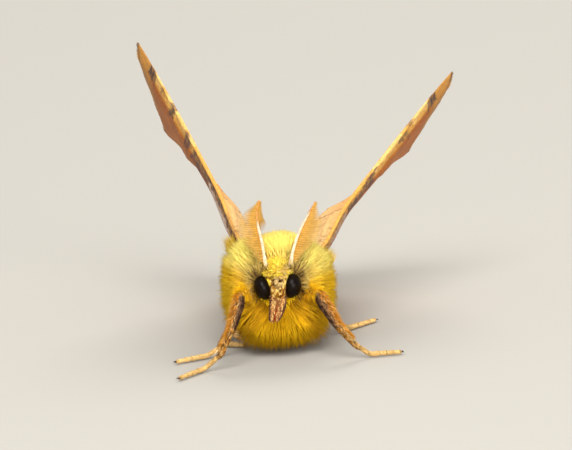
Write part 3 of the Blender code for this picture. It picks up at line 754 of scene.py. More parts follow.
print("hairs lie away from", FACE_POINT, "- shifts to choose from:", CELL_TABLE)

# %% [markdown]
# Two touches of painted light and shade keep the face clear. The throat's hairs are brightened at their
# roots, painted light so that no dark arc of shade shows under the eyes, and hairs that root right beside an
# eye are darkened with painted shade, as in a socket.

# %% Size and colour the hairs
LOCK_SIZE = 0.42                        # millimetres
STRAY_SHARE, STRAY_REACH = 0.1, 1.09
LOWEST_TIP = 0.14                       # millimetres above the floor
CHEEK_YELLOW_PAINTED_LIGHT, SOCKET_PAINTED_SHADE = (1.0, 0.64, 0.012), (0.3, 0.2, 0.08)


def fur_lengths(points, heading):
    count = len(points)
    lengths = fur_reach(points, heading) * 1.04 * rng.uniform(0.7, 1.03, count)
    lengths = lengths * np.where(rng.random(count) < STRAY_SHARE, STRAY_REACH, 1.0)
    lengths = np.clip(clump(lengths[:, None], points, LOCK_SIZE, 0.06)[:, 0], 0.25, 3.0)
    height, tip_height = points[:, 2], (points + heading * lengths[:, None])[:, 2]
    shortened = np.clip((height - LOWEST_TIP) / np.maximum(height - tip_height, 1e-3), 0.2, 1)
    return np.where(tip_height < LOWEST_TIP, lengths * shortened, lengths)


def fur_colours(points, heading, lengths):
    """Colours at the roots and at the tips."""
    x, y, z = points.T
    colours = thorax_colour(points + heading * lengths[:, None] * 0.8)
    colours *= clump(rng.uniform(0.88, 1.08, (len(points), 1)), points, 0.36, 0.07)
    # Painted light: the throat's hairs are brightened, so that no dark arc of shade shows under the eyes.
    throat = smoothstep(2.7, 3.2, z) * smoothstep(3.9, 3.5, z) * smoothstep(2.0, 1.3, np.abs(x))
    colours = blend_to(colours, CHEEK_YELLOW_PAINTED_LIGHT, 0.35 * throat * smoothstep(2.6, 1.8, y))
    tips = paler(colours)
    # Painted shade: the roots of hairs right beside an eye are darkened, as in a socket.
    rim = np.hypot((np.abs(x) - 0.95) / 0.47, (z - 4.25) / 0.73)
    socket = 0.85 * smoothstep(1.9, 1.4, rim) * smoothstep(2.0, 1.3, y) * smoothstep(3.3, 3.8, z)
    return blend_to(colours, SOCKET_PAINTED_SHADE, socket), tips


print(f"one hair in {round(1 / STRAY_SHARE)} strays and reaches {STRAY_REACH} times as far")

# %% [markdown]
# The fur is grown in three pieces, because one mesh of half a million triangles is slow to edit and to
# bake.

# %% Grow the thorax fur
FUR_PIECES, FUR_BLADES = 3, 12500

for part in range(FUR_PIECES):
    points, normals = thorax_roots(int(FUR_BLADES * 2.4))
    points, normals = points[:FUR_BLADES], normals[:FUR_BLADES]
    lies = along_skin(clump(lie_away_from_face(points, normals), points, LOCK_SIZE, 0.22), normals)
    heading = unit(normals * 0.62 + lies * 0.78)
    lengths = fur_lengths(points, heading)
    colours, tips = fur_colours(points, heading, lengths)
    coat = grow_coat(f"thorax_fur_{part}", points, normals, lies, lengths, (0.035, 0.07), (62.0, 18.0),
                     colours, fur_finish, tips=tips)

# %% [markdown]
# Under the eyes the ruff closes up to the head: shorter, brighter hairs root below the face and fan down
# and out over the dark roots of the long ones. Their brighter yellow is painted light against the shade
# under the head.

# %% Fill in the cheeks
CHEEK_BLADES = 2600

points, normals = scatter(skin, 60000)
keep = within(points[:, 1], 0.25, 1.5) & within(points[:, 2], 2.1, 3.8) & (np.abs(points[:, 0] - 0.1) < 1.9)
points, normals = points[keep][:CHEEK_BLADES], normals[keep][:CHEEK_BLADES]
count = len(points)
lies = points - np.array((0.1, 1.2, 4.3)) + rng.normal(0.0, 0.2, points.shape)
lengths = rng.uniform(0.5, 1.15, count)
# Their yellow is brightened: painted light against the shade under the head.
colours = painted(CHEEK_YELLOW_PAINTED_LIGHT, count) * clump(rng.uniform(0.85, 1.05, (count, 1)), points, 0.3, 0.06)
coat = grow_coat("cheek_fur", points, normals, lies, lengths, (0.03, 0.055), (40.0, 20.0), colours, fur_finish,
                 tips=paler(colours))

# %% [markdown]
# Where each wing leaves the body, a tuft of longer orange-yellow hairs stands up outside its base. A tuft
# has no skin to be scattered on: its hairs root in a small flat cloud and all lean one way.

# %% Stand a tuft outside each wing
TUFT_HAIRS, TUFT_YELLOW = 700, (0.64, 0.42, 0.04)
TUFTS = {"right": ((-2.2, 3.7, 5.45), (-0.2, 0.4, 0.88)), "left": ((3.1, 3.7, 4.3), (0.26, 0.45, 0.85))}

for side, (middle, way) in TUFTS.items():
    away = unit(rng.normal(0.0, 1.0, (TUFT_HAIRS, 3)))
    roots = np.array(middle) + away * np.array((0.3, 0.8, 0.3)) * rng.uniform(0.0, 1.0, (TUFT_HAIRS, 1)) ** 0.5
    ways = unit(np.array(way) + away * 0.1 + rng.normal(0.0, 0.16, (TUFT_HAIRS, 3)))
    colours = painted(TUFT_YELLOW, TUFT_HAIRS) * rng.uniform(0.8, 1.15, (TUFT_HAIRS, 1))
    lengths = rng.uniform(0.4, 1.0, TUFT_HAIRS) ** 1.5 * 1.4
    coat = grow_coat("wing_tuft_" + side, roots, unit(np.cross(ways, (0.0, -0.3, 1.0))), ways, lengths,
                     (0.022, 0.04), (4.0, -6.0), colours, fur_finish, tips=paler(colours))

# %% [markdown]
# ## The face
#
# Scales on the face are short and lie close. The crown is yellow with dark-tipped scales that lean
# forwards, the patch on the forehead is a dull grey-tan, and cream scales edge it below.
#
# Scales of one tone sit in small clusters. `draw` is one random number a cluster, and both the cream and
# the dark flecks are cut from it, so that they never mix.

# %% Place the scales of the head
HEAD_MIDDLE = np.array((0.0, 0.35, 4.45))
HEAD_SCALES = 12500

points, normals = scatter(skin, 240000)
keep = (points[:, 1] < 1.5) & (np.hypot(points[:, 0], points[:, 2] - 4.4) < 1.06)
for middle in EYE_MIDDLE.values():
    away = (points - np.array(middle)) / np.array(EYE_SIZE)
    keep &= np.sum(away ** 2, axis=1) > 1.1
points, normals = points[keep][:HEAD_SCALES], normals[keep][:HEAD_SCALES]
count = len(points)
crown = smoothstep(4.9, 5.2, points[:, 2])
top = smoothstep(5.1, 5.3, points[:, 2])
lies = np.stack([points[:, 0] * 0.5, -0.5 - 0.5 * crown + 1.3 * top, -1.0 + 2.0 * top], 1)
lies += rng.normal(0.0, 0.22, lies.shape)
lengths = (0.14 + 0.08 * crown + 0.5 * top) * rng.uniform(0.75, 1.3, count)
print("head:", count, "scales, of them on the crown:", int((crown > 0.5).sum()))

# %% [markdown]
# The cream scales lie thickest around the tan patch, and few of them are on the crown. Many scales of the
# crown have a brown tip, which shows the rows that they lie in.

# %% Fleck the scales of the head and lay them
CREAM, PATCH_PALE = (0.86, 0.61, 0.19), (0.6, 0.42, 0.17)
SPECK_SHADE, PATCH_SHADE, TIP_BROWN = np.array((0.36, 0.27, 0.24)), 0.62, np.array((0.2, 0.1, 0.03))

colours = head_colour(points) * rng.uniform(0.8, 1.15, (count, 1))
patch = forehead(points)
beside_patch = within(patch, 0.9, 1.75) & (points[:, 2] < 5.05) & (np.abs(points[:, 0]) < 0.46)
draw = np.abs(clump(np.zeros((count, 1)), points + rng.normal(0, 0.012, points.shape), 0.17, 1.0)[:, 0])
cream = draw > np.where(beside_patch, 0.7, np.where(crown > 0.6, 1.9, 1.1))
cream &= (points[:, 2] < 5.3) & (patch > 0.9)
colours[cream] = np.array(CREAM) * rng.uniform(0.9, 1.15, (cream.sum(), 1))
speck = (draw < np.where(crown > 0.6, 0.2, 0.3)) & (top < 0.9) & ((patch > 0.9) | (draw < 0.1))
colours[speck] *= SPECK_SHADE
colours[(patch < 0.9) & (draw > 0.9)] = PATCH_PALE
colours[(patch < 0.9) & (draw < 0.3)] *= PATCH_SHADE
tips = paler(colours, 1.12)
tips[(rng.random(count) < 0.22) & (crown > 0.3) & (top < 0.8)] = TIP_BROWN
angles = (22.0 + 8.0 * crown + 14.0 * top, 6.0)
coat = grow_coat("head_scales", points, normals, lies, lengths, (0.035, 0.07), angles, colours,
                 scale_coat_finish, HEAD_MIDDLE, sunk=0.012, flat=0.25, tips=tips)

# %% [markdown]
# Two kinds of hair root on a ring just behind each eye and fan out from it: a veil of fine grey-brown
# hairs, and among them some black lashes, most of them above. Both are thin enough for the yellow fur to
# show between them.

# %% Stand the veil and the lashes around the eyes
SIDES = {"right": -1.0, "left": 1.0}
EYE_RING = np.array(EYE_SIZE) * np.array((1.05, 1.0, 1.03))
VEIL_ROOT, VEIL_TIP, LASH_BLACK = (0.5, 0.34, 0.1), (0.72, 0.52, 0.12), (0.05, 0.025, 0.018)


def ring_of_hairs(side, sign, count, spread, widest):
    """Roots and lies on a ring behind an eye, and how far above the eye each one stands, 0 to 1."""
    turn = np.radians(rng.uniform(*spread, count))
    radial = np.stack([sign * np.cos(turn), np.zeros(count), np.sin(turn)], 1)
    roots = np.array(EYE_MIDDLE[side]) + radial * EYE_RING * rng.uniform(0.93, widest, (count, 1))
    roots[:, 1] += rng.uniform(0.1, 0.5, count)
    return roots, radial + rng.normal(0.0, 0.16, radial.shape), smoothstep(20.0, 60.0, np.degrees(turn))


def eye_hairs(kind, side, roots, lies, lengths, widths, colours, tips):
    forward = np.tile(np.array((0.0, -1.0, 0.0)), (len(roots), 1))
    coat = grow_coat(f"{kind}_{side}", roots, forward, lies, lengths, widths, (32.0, 12.0), colours,
                     scale_coat_finish, np.array(EYE_MIDDLE[side]), tips=tips)


for side, sign in SIDES.items():
    roots, lies, upper = ring_of_hairs(side, sign, 260, (-25.0, 120.0), 1.3)
    count = len(roots)
    lengths = (0.5 + 0.2 * upper) * rng.uniform(0.6, 1.2, count)
    colours = painted(VEIL_ROOT, count) * rng.uniform(0.5, 1.3, (count, 1))
    eye_hairs("veil", side, roots, lies, lengths, (0.022, 0.04), colours, painted(VEIL_TIP, count))
    roots, lies, upper = ring_of_hairs(side, sign, 130, (-70.0, 115.0), 1.1)
    keep = rng.random(len(roots)) < 0.35 + 0.65 * upper
    roots, lies, upper, count = roots[keep], lies[keep], upper[keep], keep.sum()
    lengths = (0.45 + 0.4 * upper) * rng.uniform(0.7, 1.25, count)
    colours = painted(LASH_BLACK, count) * rng.uniform(0.7, 1.6, (count, 1))
    eye_hairs("lashes", side, roots, lies, lengths, (0.016, 0.028), colours, colours * 1.6)

# %% [markdown]
# ## Limbs
#
# Legs, palps and antennae are all tubes along a smooth line, thick and thin by turns. The line runs
# through a few joints; a cubic curve fills in the rest, and the rings are carried along it without
# twisting, so a marking on the outer side stays on the outer side.

# %% A line that follows joints
def smooth_line(joints, radii, step):
    joints, radii = np.asarray(joints, float), np.asarray(radii, float)
    spans = np.linalg.norm(np.diff(joints, axis=0), axis=1)
    at = np.concatenate([[0.0], np.cumsum(spans)])
    slopes = np.gradient(joints, at, axis=0)
    steps = np.unique(np.concatenate([np.linspace(a, b, max(2, int(np.ceil((b - a) / step)) + 1))
                                      for a, b in zip(at, at[1:])]).round(6))
    cell = np.clip(np.searchsorted(at, steps, side="right") - 1, 0, len(spans) - 1)
    t, size = ((steps - at[cell]) / spans[cell])[:, None], spans[cell][:, None]
    line = ((2 * t ** 3 - 3 * t ** 2 + 1) * joints[cell] + (t ** 3 - 2 * t ** 2 + t) * size * slopes[cell]
            + (3 * t ** 2 - 2 * t ** 3) * joints[cell + 1] + (t ** 3 - t ** 2) * size * slopes[cell + 1])
    return line, np.interp(steps, at, radii), np.interp(steps, at, np.arange(len(joints)))


def carried_frames(line):
    runs = unit(np.gradient(line, axis=0))
    side = unit(np.cross(runs[0], STRAIGHT_UP + 0.01))
    sides = []
    for run in runs:
        side = unit(side - run * np.dot(side, run))
        sides.append(side)
    sides = np.array(sides)
    return runs, sides, np.cross(runs, sides)


bend = smooth_line([(0.0, 0.0, 0.0), (1.0, 0.0, 0.0), (1.0, 1.0, 0.0)], [0.2, 0.1, 0.2], 0.1)[0]
print("a bend of 2 mm in steps of 0.1 mm has", len(bend), "places")

# %% A tube around such a line
LOWEST_SKIN = 0.01          # millimetres above the floor


def limb(name, line, radii, finish, around=16):
    """A closed round tube with a blunt point at each end."""
    runs, sides, ups = carried_frames(line)
    angles = np.linspace(0, 2 * np.pi, around, endpoint=False)[None, :, None]
    outward = np.cos(angles) * sides[:, None] + np.sin(angles) * ups[:, None]
    rings = line[:, None] + radii[:, None, None] * outward
    ends = line[:1] - runs[:1] * radii[0] * 0.6, line[-1:] + runs[-1:] * radii[-1] * 0.6
    verts = np.concatenate([rings.reshape(-1, 3), *ends])
    first_end, second_end, last_ring = len(verts) - 2, len(verts) - 1, (len(line) - 1) * around
    faces = []
    for i in range(len(line) - 1):
        for k in range(around):
            j = (k + 1) % around
            faces.append((i * around + k, i * around + j, (i + 1) * around + j, (i + 1) * around + k))
    for k in range(around):
        j = (k + 1) % around
        faces += [(first_end, j, k), (second_end, last_ring + k, last_ring + j)]
    verts[:, 2] = np.maximum(verts[:, 2], LOWEST_SKIN)
    return mesh_object(name, verts, faces, finish)


def nearest_on(line, points):
    return np.argmin(np.linalg.norm(points[:, None] - line[None], axis=2), axis=1)


print("on the bend, nearest to (1, 0.5, 0.3) is place", nearest_on(bend, np.array([(1.0, 0.5, 0.3)]))[0])

# %% [markdown]
# ## Palps
#
# The two palps are the short snout under the face. Cream and pinkish scales with dark outer edges lie
# along them, and a reddish gap shows where they meet. `outer` is 1 where the surface faces away from the
# other palp and -1 where it faces it.

# %% Shape and colour the palps
PALPS = {
    "right": [(-0.26, -0.3, 3.75), (-0.32, -0.72, 3.42), (-0.42, -1.15, 3.02), (-0.5, -1.42, 2.8),
              (-0.53, -1.56, 2.7)],
    "left": [(0.2, -0.3, 3.75), (0.17, -0.72, 3.42), (-0.03, -1.15, 3.02), (-0.16, -1.42, 2.8),
             (-0.22, -1.56, 2.7)],
}
PALP_RADII = [0.2, 0.22, 0.2, 0.165, 0.11]
PALP_BROWN, GAP_RED, EDGE_BROWN = (0.34, 0.14, 0.045), (0.3, 0.04, 0.01), (0.09, 0.04, 0.03)
OUT_AND_IN = np.array([(1.0, 0.0, 0.0), (-1.0, 0.0, 0.0)])      # normals on the two sides of a left limb
# From one random number a scale: a mark takes all scales between its two bounds.
PALP_MARKS = [(-1.0, 0.4, (0.78, 0.5, 0.17)), (0.8, 1.0, (0.14, 0.055, 0.03)), (0.93, 1.0, (0.62, 0.24, 0.07))]


def palp_colour(points, normals, sign):
    outer = normals[:, 0] * sign
    gap = smoothstep(-0.45, -0.8, outer) * smoothstep(3.5, 3.25, points[:, 2])
    colours = blend_to(painted(PALP_BROWN, len(points)), GAP_RED, gap)
    return blend_to(colours, EDGE_BROWN, 0.9 * smoothstep(0.5, 0.8, outer))


print("a palp, outside and in the gap:",
      palp_colour(np.array([(0.0, -1.0, 3.0)] * 2), OUT_AND_IN, 1.0).round(2).tolist())

# %% [markdown]
# A palp is made as every limb will be: a bare tube, coloured as its scales are, and then a coat of scales
# that all lie along it. Where a scale is missing, the skin below has the same colour.

# %% Make the palps
for side, sign in SIDES.items():
    line, radii, _ = smooth_line(PALPS[side], PALP_RADII, 0.08)
    palp = limb("palp_skin_" + side, line, radii, skin_finish)
    set_colours(palp, palp_colour(*mesh_points(palp), sign))
    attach(palp, "root")
    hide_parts("palp_" + side)
    points, normals = scatter(palp, 900)
    lies = carried_frames(line)[0][nearest_on(line, points)] + rng.normal(0.0, 0.12, points.shape)
    colours = palp_colour(points, normals, sign) * rng.uniform(0.8, 1.2, (len(points), 1))
    draw = rng.random(len(points))
    for low, high, colour in PALP_MARKS:
        colours[within(draw, low, high) & within(normals[:, 0] * sign, -0.55, 0.7)] = colour
    lengths = rng.uniform(0.14, 0.3, len(points))
    coat = grow_coat("palp_scales_" + side, points, normals, lies, lengths, (0.045, 0.08), (24.0, 6.0), colours,
                     scale_coat_finish, line.mean(axis=0), sunk=0.02, flat=0.25)

# %% [markdown]
# ## Antennae
#
# A male thorn moth smells females with comb-shaped antennae: a shaft with white scales on its upper side
# and two rows of fine rays. From the front the outer row spreads into a pale orange sheet, and only a
# faint ribbing betrays the single rays. Each ray is a flat, curved, tapered strip.
#
# The inner row lies nearly behind the shaft and swings out towards the tip, which makes the small hook
# that shows inside the right antenna.

# %% Set out the rays of a comb
ANTENNAE = {
    "right": [(-0.4, 0.4, 5.05), (-0.6, 0.3, 5.55), (-0.66, 0.6, 6.1), (-0.7, 1.05, 6.62), (-0.83, 2.3, 7.5),
              (-0.78, 3.5, 8.05), (-0.5, 4.9, 8.42)],
    "left": [(0.5, 0.4, 5.0), (0.86, 0.28, 5.5), (1.0, 0.5, 6.0), (1.2, 1.0, 6.42), (1.75, 2.35, 7.18),
             (2.25, 3.5, 7.64), (2.8, 4.8, 8.12)],
}
SHAFT_RADII = [0.12, 0.125, 0.085, 0.08, 0.07, 0.05, 0.025]
RAYS_IN_ROW, RAY_RINGS, RAY_HALF = 58, 7, 0.036
OUTER_TURN = 16.0           # degrees behind straight out


def ray_turn(row, t, sign):
    """How far a ray is turned from straight out towards behind, in radians."""
    if row == "outer":
        return math.radians(OUTER_TURN)
    hook = 26.0 * math.exp(-((t - 0.66) / 0.09) ** 2) if sign < 0 else 0.0
    return math.radians(98.0 + 40.0 * float(smoothstep(0.55, 0.9, t)) + hook)


def ray_reach(row, t):
    grows, shrinks = float(smoothstep(0.1, 0.36, t)), float(smoothstep(0.56, 1.02, t))
    reach = 1.08 * (0.4 + 0.6 * grows) * (1.0 - 0.86 * shrinks)
    return reach * (rng.uniform(0.96, 1.04) * (0.95 if row == "inner" else 1.0))


print("rays on both antennae:", 4 * RAYS_IN_ROW)

# %% [markdown]
# A ray is a box that is drawn out along a curve, seven rings of four points. It leaves the shaft straight,
# leans a little towards the tip of the antenna, and narrows to a quarter of its width.

# %% Draw one row of rays
COMB_ROOT, COMB_TIP = np.array((0.5, 0.245, 0.034)), np.array((0.55, 0.325, 0.075))
DARKER_RAY, LIGHTER_RAY = 0.84, 1.06        # by turns, so that single rays can be told apart


def comb_rays(line, sign, row):
    """Points, faces and colours of every ray of one row."""
    verts, faces, colours = [], [], []
    at = np.concatenate([[0.0], np.cumsum(np.linalg.norm(np.diff(line, axis=0), axis=1))])
    runs = unit(np.gradient(line, axis=0))
    for i in range(RAYS_IN_ROW):
        t = 0.13 + 0.86 * i / (RAYS_IN_ROW - 1)
        root = np.array([np.interp(t * at[-1], at, line[:, k]) for k in range(3)])
        run = unit(np.array([np.interp(t * at[-1], at, runs[:, k]) for k in range(3)]))
        outer = np.array((sign, 0.0, 0.15))
        outer = unit(outer - run * np.dot(outer, run))
        behind = np.cross(run, outer)
        behind = behind * -np.sign(behind[2])
        turn = ray_turn(row, t, sign)
        out = outer * math.cos(turn) + behind * math.sin(turn)
        thick = unit(np.cross(run, out))
        reach = ray_reach(row, t)
        base = len(verts)
        for k in range(RAY_RINGS):
            s = k / (RAY_RINGS - 1)
            middle = root + out * reach * s + run * reach * 0.34 * s ** 2 - thick * 0.08 * reach * s * (1 - s)
            half = RAY_HALF * (1.0 - 0.72 * s ** 2)
            tone = (COMB_ROOT * (1 - s) + COMB_TIP * s) * (DARKER_RAY if i % 2 else LIGHTER_RAY)
            for across, up_down in ((1, 0.5), (-1, 0.5), (-1, -0.5), (1, -0.5)):
                verts.append(middle + run * half * across + thick * half * up_down * 0.9)
                colours.append(tone)
        for k in range(RAY_RINGS - 1):
            for j in range(4):
                a, b = base + k * 4 + j, base + k * 4 + (j + 1) % 4
                faces.append((a, b, b + 4, a + 4))
        faces.append(tuple(base + j for j in (3, 2, 1, 0)))
        faces.append(tuple(base + (RAY_RINGS - 1) * 4 + j for j in range(4)))
    return verts, faces, colours


print("a ray has", RAY_RINGS * 4, "points and", (RAY_RINGS - 1) * 4 + 2, "faces")

# %% [markdown]
# The shaft swells a little at each of its joints, which a cosine along its radius gives. Its white scales
# lie only on the side that faces front and up, and turn orange part of the way along.

# %% Make the antennae
SHAFT_TAN, SHAFT_WHITE, SHAFT_ORANGE = (0.8, 0.52, 0.24), (0.84, 0.72, 0.54), (0.74, 0.32, 0.06)
WHITE_UNTIL = {"right": 0.5, "left": 0.72}      # share of the shaft

for side, sign in SIDES.items():
    line, radii, _ = smooth_line(ANTENNAE[side], SHAFT_RADII, 0.07)
    radii = radii * (1.0 + 0.09 * np.cos(np.arange(len(line)) * 2.2))
    shaft = limb("antenna_shaft_" + side, line, radii, skin_finish, around=10)
    set_colours(shaft, painted(SHAFT_TAN, len(shaft.data.vertices)))
    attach(shaft, "root")
    verts, faces, colours = [], [], []
    for row in ("outer", "inner"):
        row_verts, row_faces, row_colours = comb_rays(line, sign, row)
        faces += [tuple(i + len(verts) for i in face) for face in row_faces]
        verts += row_verts
        colours += row_colours
    comb = mesh_object("antenna_comb_" + side, verts, faces, comb_finish)
    set_colours(comb, np.array(colours))
    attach(comb, "root")
    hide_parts("antenna_" + side)
    points, normals = scatter(shaft, 2600)
    front = (normals @ np.array((-sign * 0.55, -0.75, 0.35))) > 0.1
    points, normals = points[front][:1300], normals[front][:1300]
    near = nearest_on(line, points)
    lies = carried_frames(line)[0][near]
    turns = smoothstep(WHITE_UNTIL[side], WHITE_UNTIL[side] + 0.12, near / len(line))
    colours = blend_to(painted(SHAFT_WHITE, len(points)), SHAFT_ORANGE, turns)
    colours *= rng.uniform(0.8, 1.08, (len(points), 1))
    lengths = rng.uniform(0.09, 0.15, len(points))
    coat = grow_coat("shaft_scales_" + side, points, normals, lies, lengths, (0.03, 0.05), (14.0, 3.0), colours,
                     scale_coat_finish, line.mean(axis=0), sunk=0.01, flat=0.25)

# %% [markdown]
# ## Wings
#
# A wing is a membrane thinner than paper, stiffened by veins. It is drawn flat: `a` runs from its root
# to the tip and `b` from the front edge back, and a height over that sheet gives it bend. One
# triangulation serves both faces, so the thin wing can never cross itself. The front edge rolls
# outwards, and seen from the front it is the ribbon that catches the light.

# %% The sheet that a pair of wings is drawn on
HINDWING_ROOT = (0.55, 2.05)


def slantwise(a, b):
    """How far out a place lies, measured at a slant of 30 degrees, the way in which a wing bends."""
    return 0.85 * a - 0.49 * b


class WingSheet:
    """`leans` are (lean, from, to): how far the sheet leans outwards for each millimetre back, and between
    which slantwise places that sets in."""

    def __init__(self, root, tip, back_edge, outward_x, leans, hind_bend, inner_cup, base_flare):
        self.root = np.array(root)
        self.along = unit(np.array(tip) - self.root)
        chord = np.array(back_edge)
        self.across = unit(chord - self.along * np.dot(chord, self.along))
        outward = np.cross(self.along, self.across)
        self.outward = outward * np.sign(outward[0] * outward_x)
        self.leans, self.hind_bend = leans, hind_bend
        self.inner_cup, self.base_flare = inner_cup, base_flare

    def solid_height(self, a, b):
        lean = sum(amount * smoothstep(low, high, slantwise(a, b)) for amount, low, high in self.leans)
        return 0.12 * smoothstep(-0.4, 0.8, b) - 0.1 + lean * np.maximum(b, 0.0)

    def fore_height(self, a, b):
        inner = smoothstep(5.0, 2.6, slantwise(a, b)) * smoothstep(1.0, 3.0, b)
        roll = 0.31 * smoothstep(-0.3, 0.8, b) * (1.0 - 0.8 * inner) - 0.12
        flare = self.base_flare * smoothstep(4.5, 1.0, slantwise(a, b)) * smoothstep(2.5, 0.4, b)
        return self.solid_height(a, b) + roll + flare - self.inner_cup * inner

    def hind_height(self, a, b):
        da, db = a - HINDWING_ROOT[0], b - HINDWING_ROOT[1]
        reach, angle = np.hypot(da, db), np.degrees(np.arctan2(db, da))
        dip = 0.4 * smoothstep(28.0, 48.0, angle) * smoothstep(1.0, 4.0, reach)
        fan = smoothstep(38.0, 60.0, angle) * self.hind_bend * smoothstep(1.0, 6.0, reach)
        return self.solid_height(a, b) + 0.4 + dip + fan

    def place(self, a, b, height):
        a, b, lift = (np.asarray(value)[..., None] for value in (a, b, height(a, b)))
        return self.root + self.along * a + self.across * b + self.outward * lift

    def normal(self, a, b, height, step=0.05):
        along = self.place(a + step, b, height) - self.place(a - step, b, height)
        across = self.place(a, b + step, height) - self.place(a, b - step, height)
        normal = unit(np.cross(along, across))
        return normal * np.sign(normal @ self.outward)[..., None]


print("the middle of a forewing lies", round(slantwise(8.5, 3.0), 2), "mm out")

# %% [markdown]
# The two pairs are not each other's mirror image. The moth holds the right pair steeper, so each sheet is
# set up by where its root and its tip are and by the way from its front edge to its back edge.

# %% The sheets of the two sides
SHEETS = {
    "right": WingSheet((-1.55, 3.3, 5.75), (-6.98, 15.25, 16.46), (0.235, 0.733, -0.639), -1.0,
                       [(-0.115, -2.0, -1.0), (0.05, 1.0, 4.0), (0.115, 4.6, 7.6), (0.085, 7.6, 9.4)],
                       hind_bend=0.75, inner_cup=0.22, base_flare=0.3),
    "left": WingSheet((2.05, 3.3, 4.95), (12.29, 13.75, 13.52), (-0.319, 0.74, -0.593), 1.0,
                      [(-0.19, -2.0, -1.0), (0.13, 2.0, 5.2), (0.09, 5.0, 7.8), (0.07, 7.8, 9.4)],
                      hind_bend=0.5, inner_cup=0.0, base_flare=0.45),
}
print("a forewing is 17 mm long; the tip of the right one is at",
      SHEETS["right"].place(17.0, 0.0, SHEETS["right"].fore_height).round(2))

# %% [markdown]
# A wing's outline is its front edge, the teeth of its outer edge with a scallop between each two, and its
# back edge. The hindwing is a fan, so its places are given as a reach from its root and an angle in
# degrees. The veins run from the root to the teeth, as in life, where they hold each tooth up.

# %% Fans and scallops
def polar(points):
    return [(HINDWING_ROOT[0] + r * math.cos(math.radians(f)), HINDWING_ROOT[1] + r * math.sin(math.radians(f)))
            for r, f in points]


def scalloped(teeth, depth, towards):
    edge = [teeth[0]]
    for first, second in zip(teeth, teeth[1:]):
        first, second = np.array(first), np.array(second)
        chord = second - first
        inward = unit(np.array(towards) - (first + second) / 2)
        size = depth * min(1.0, np.linalg.norm(chord) / 2.0)
        for t in (0.2, 0.4, 0.6, 0.8):
            edge.append(tuple(first + chord * t + inward * size * (1 - (2 * t - 1) ** 2)))
        edge.append(tuple(second))
    return edge


print("30 degrees round a fan of 10 mm:", [round(c, 2) for c in polar([(10.0, 30.0)])[0]])

# %% Outlines and veins of both wings
FORE_TEETH = [(17.0, 0.0), (15.95, 2.25), (14.9, 4.05), (14.05, 5.85), (12.8, 7.05), (11.8, 8.15), (10.9, 8.95)]
FORE_FRONT = [(-0.9, 0.25), (0.0, -0.1), (3.0, -0.4), (7.0, -0.5), (11.0, -0.4), (14.5, -0.3)]
FORE_BACK = [(8.2, 7.1), (5.2, 4.9), (2.4, 2.9), (0.0, 1.3), (-0.9, 0.9)]
FORE_VEINS = [
    [(0.2, 0.3), (4.5, 1.0), (8.6, 1.9), (12.6, 1.3), (16.4, 0.3)], [(5.5, 1.2), (8.5, 0.75), (13.0, 0.1)],
    [(9.8, 1.7), (13.2, 1.6), (16.2, 1.1)], [(-0.7, 0.3), (3.0, 0.0), (8.0, 0.05), (12.0, -0.1)],
    [(0.2, 0.75), (3.2, 2.0), (6.0, 3.3), (8.2, 4.15), (11.0, 5.05), (13.75, 5.75)],
    [(8.6, 1.9), (8.85, 2.6), (8.8, 3.3), (8.2, 4.15)], [(8.85, 2.6), (12.0, 2.55), (15.6, 2.25)],
    [(8.8, 3.3), (12.0, 3.7), (14.6, 4.0)], [(7.4, 3.85), (10.0, 5.3), (12.5, 6.9)],
    [(5.6, 3.15), (8.5, 5.5), (11.5, 7.95)], [(0.3, 1.15), (3.5, 3.3), (7.0, 5.95), (10.6, 8.55)],
]
HIND_TEETH = polar([(9.9, 29.0), (11.6, 37.0), (13.0, 46.0), (11.9, 52.5), (10.6, 58.5), (8.6, 64.0)])
HIND_FRONT = [(-0.5, 1.0), (1.0, 1.65), (2.8, 2.6), (5.0, 3.75)] + polar([(8.2, 26.5)])
HIND_BACK = polar([(5.0, 67.0), (2.0, 73.0)]) + [(-0.6, 2.0)]
HIND_VEINS = [polar(vein) for vein in (
    [(0.5, 40.0), (5.5, 33.0), (8.0, 31.5), (9.7, 30.0)], [(5.5, 33.0), (9.0, 36.0), (11.3, 37.2)],
    [(0.6, 48.0), (5.2, 44.5), (9.0, 45.2), (12.5, 46.0)], [(5.5, 33.0), (5.6, 39.0), (5.2, 44.5)],
    [(5.2, 44.5), (8.8, 49.8), (11.5, 52.4)], [(5.6, 39.0), (9.0, 41.2), (12.4, 41.5)],
    [(3.6, 46.0), (7.4, 55.0), (10.2, 58.4)], [(0.6, 58.0), (4.5, 61.5), (8.3, 63.5)],
)]
# How deep the scallops are, and the point that their hollows face.
FORE_SCALLOP, HIND_SCALLOP = (0.33, (6.0, 3.5)), (0.38, HINDWING_ROOT)
print("teeth:", len(FORE_TEETH), "and", len(HIND_TEETH), "- veins:", len(FORE_VEINS), "and", len(HIND_VEINS))

# %% [markdown]
# The fine mesh needs points along the veins, a pair of points beside each vein where the ridge falls off,
# and an even field of points between. A triangulation joins them all. It also fills the hollows of
# the scallops, so triangles whose middle lies outside the outline are dropped.

# %% Measure on a flat wing
def resample(points, step):
    points = np.asarray(points, float)
    at = np.concatenate([[0.0], np.cumsum(np.linalg.norm(np.diff(points, axis=0), axis=1))])
    steps = np.linspace(0.0, at[-1], max(2, int(round(at[-1] / step)) + 1))
    return np.stack([np.interp(steps, at, points[:, k]) for k in range(2)], 1)


def curve_2d(points, step):
    line, _, _ = smooth_line([(p[0], p[1], 0.0) for p in points], np.ones(len(points)), step)
    return line[:, :2]


def inside(points, outline):
    hit = np.zeros(len(points), bool)
    x, y = points[:, 0], points[:, 1]
    for p, q in zip(outline, np.roll(outline, -1, axis=0)):
        cross = (p[1] > y) != (q[1] > y)
        at = p[0] + (y - p[1]) * (q[0] - p[0]) / (q[1] - p[1] if q[1] != p[1] else 1e-9)
        hit ^= cross & (x < at)
    return hit


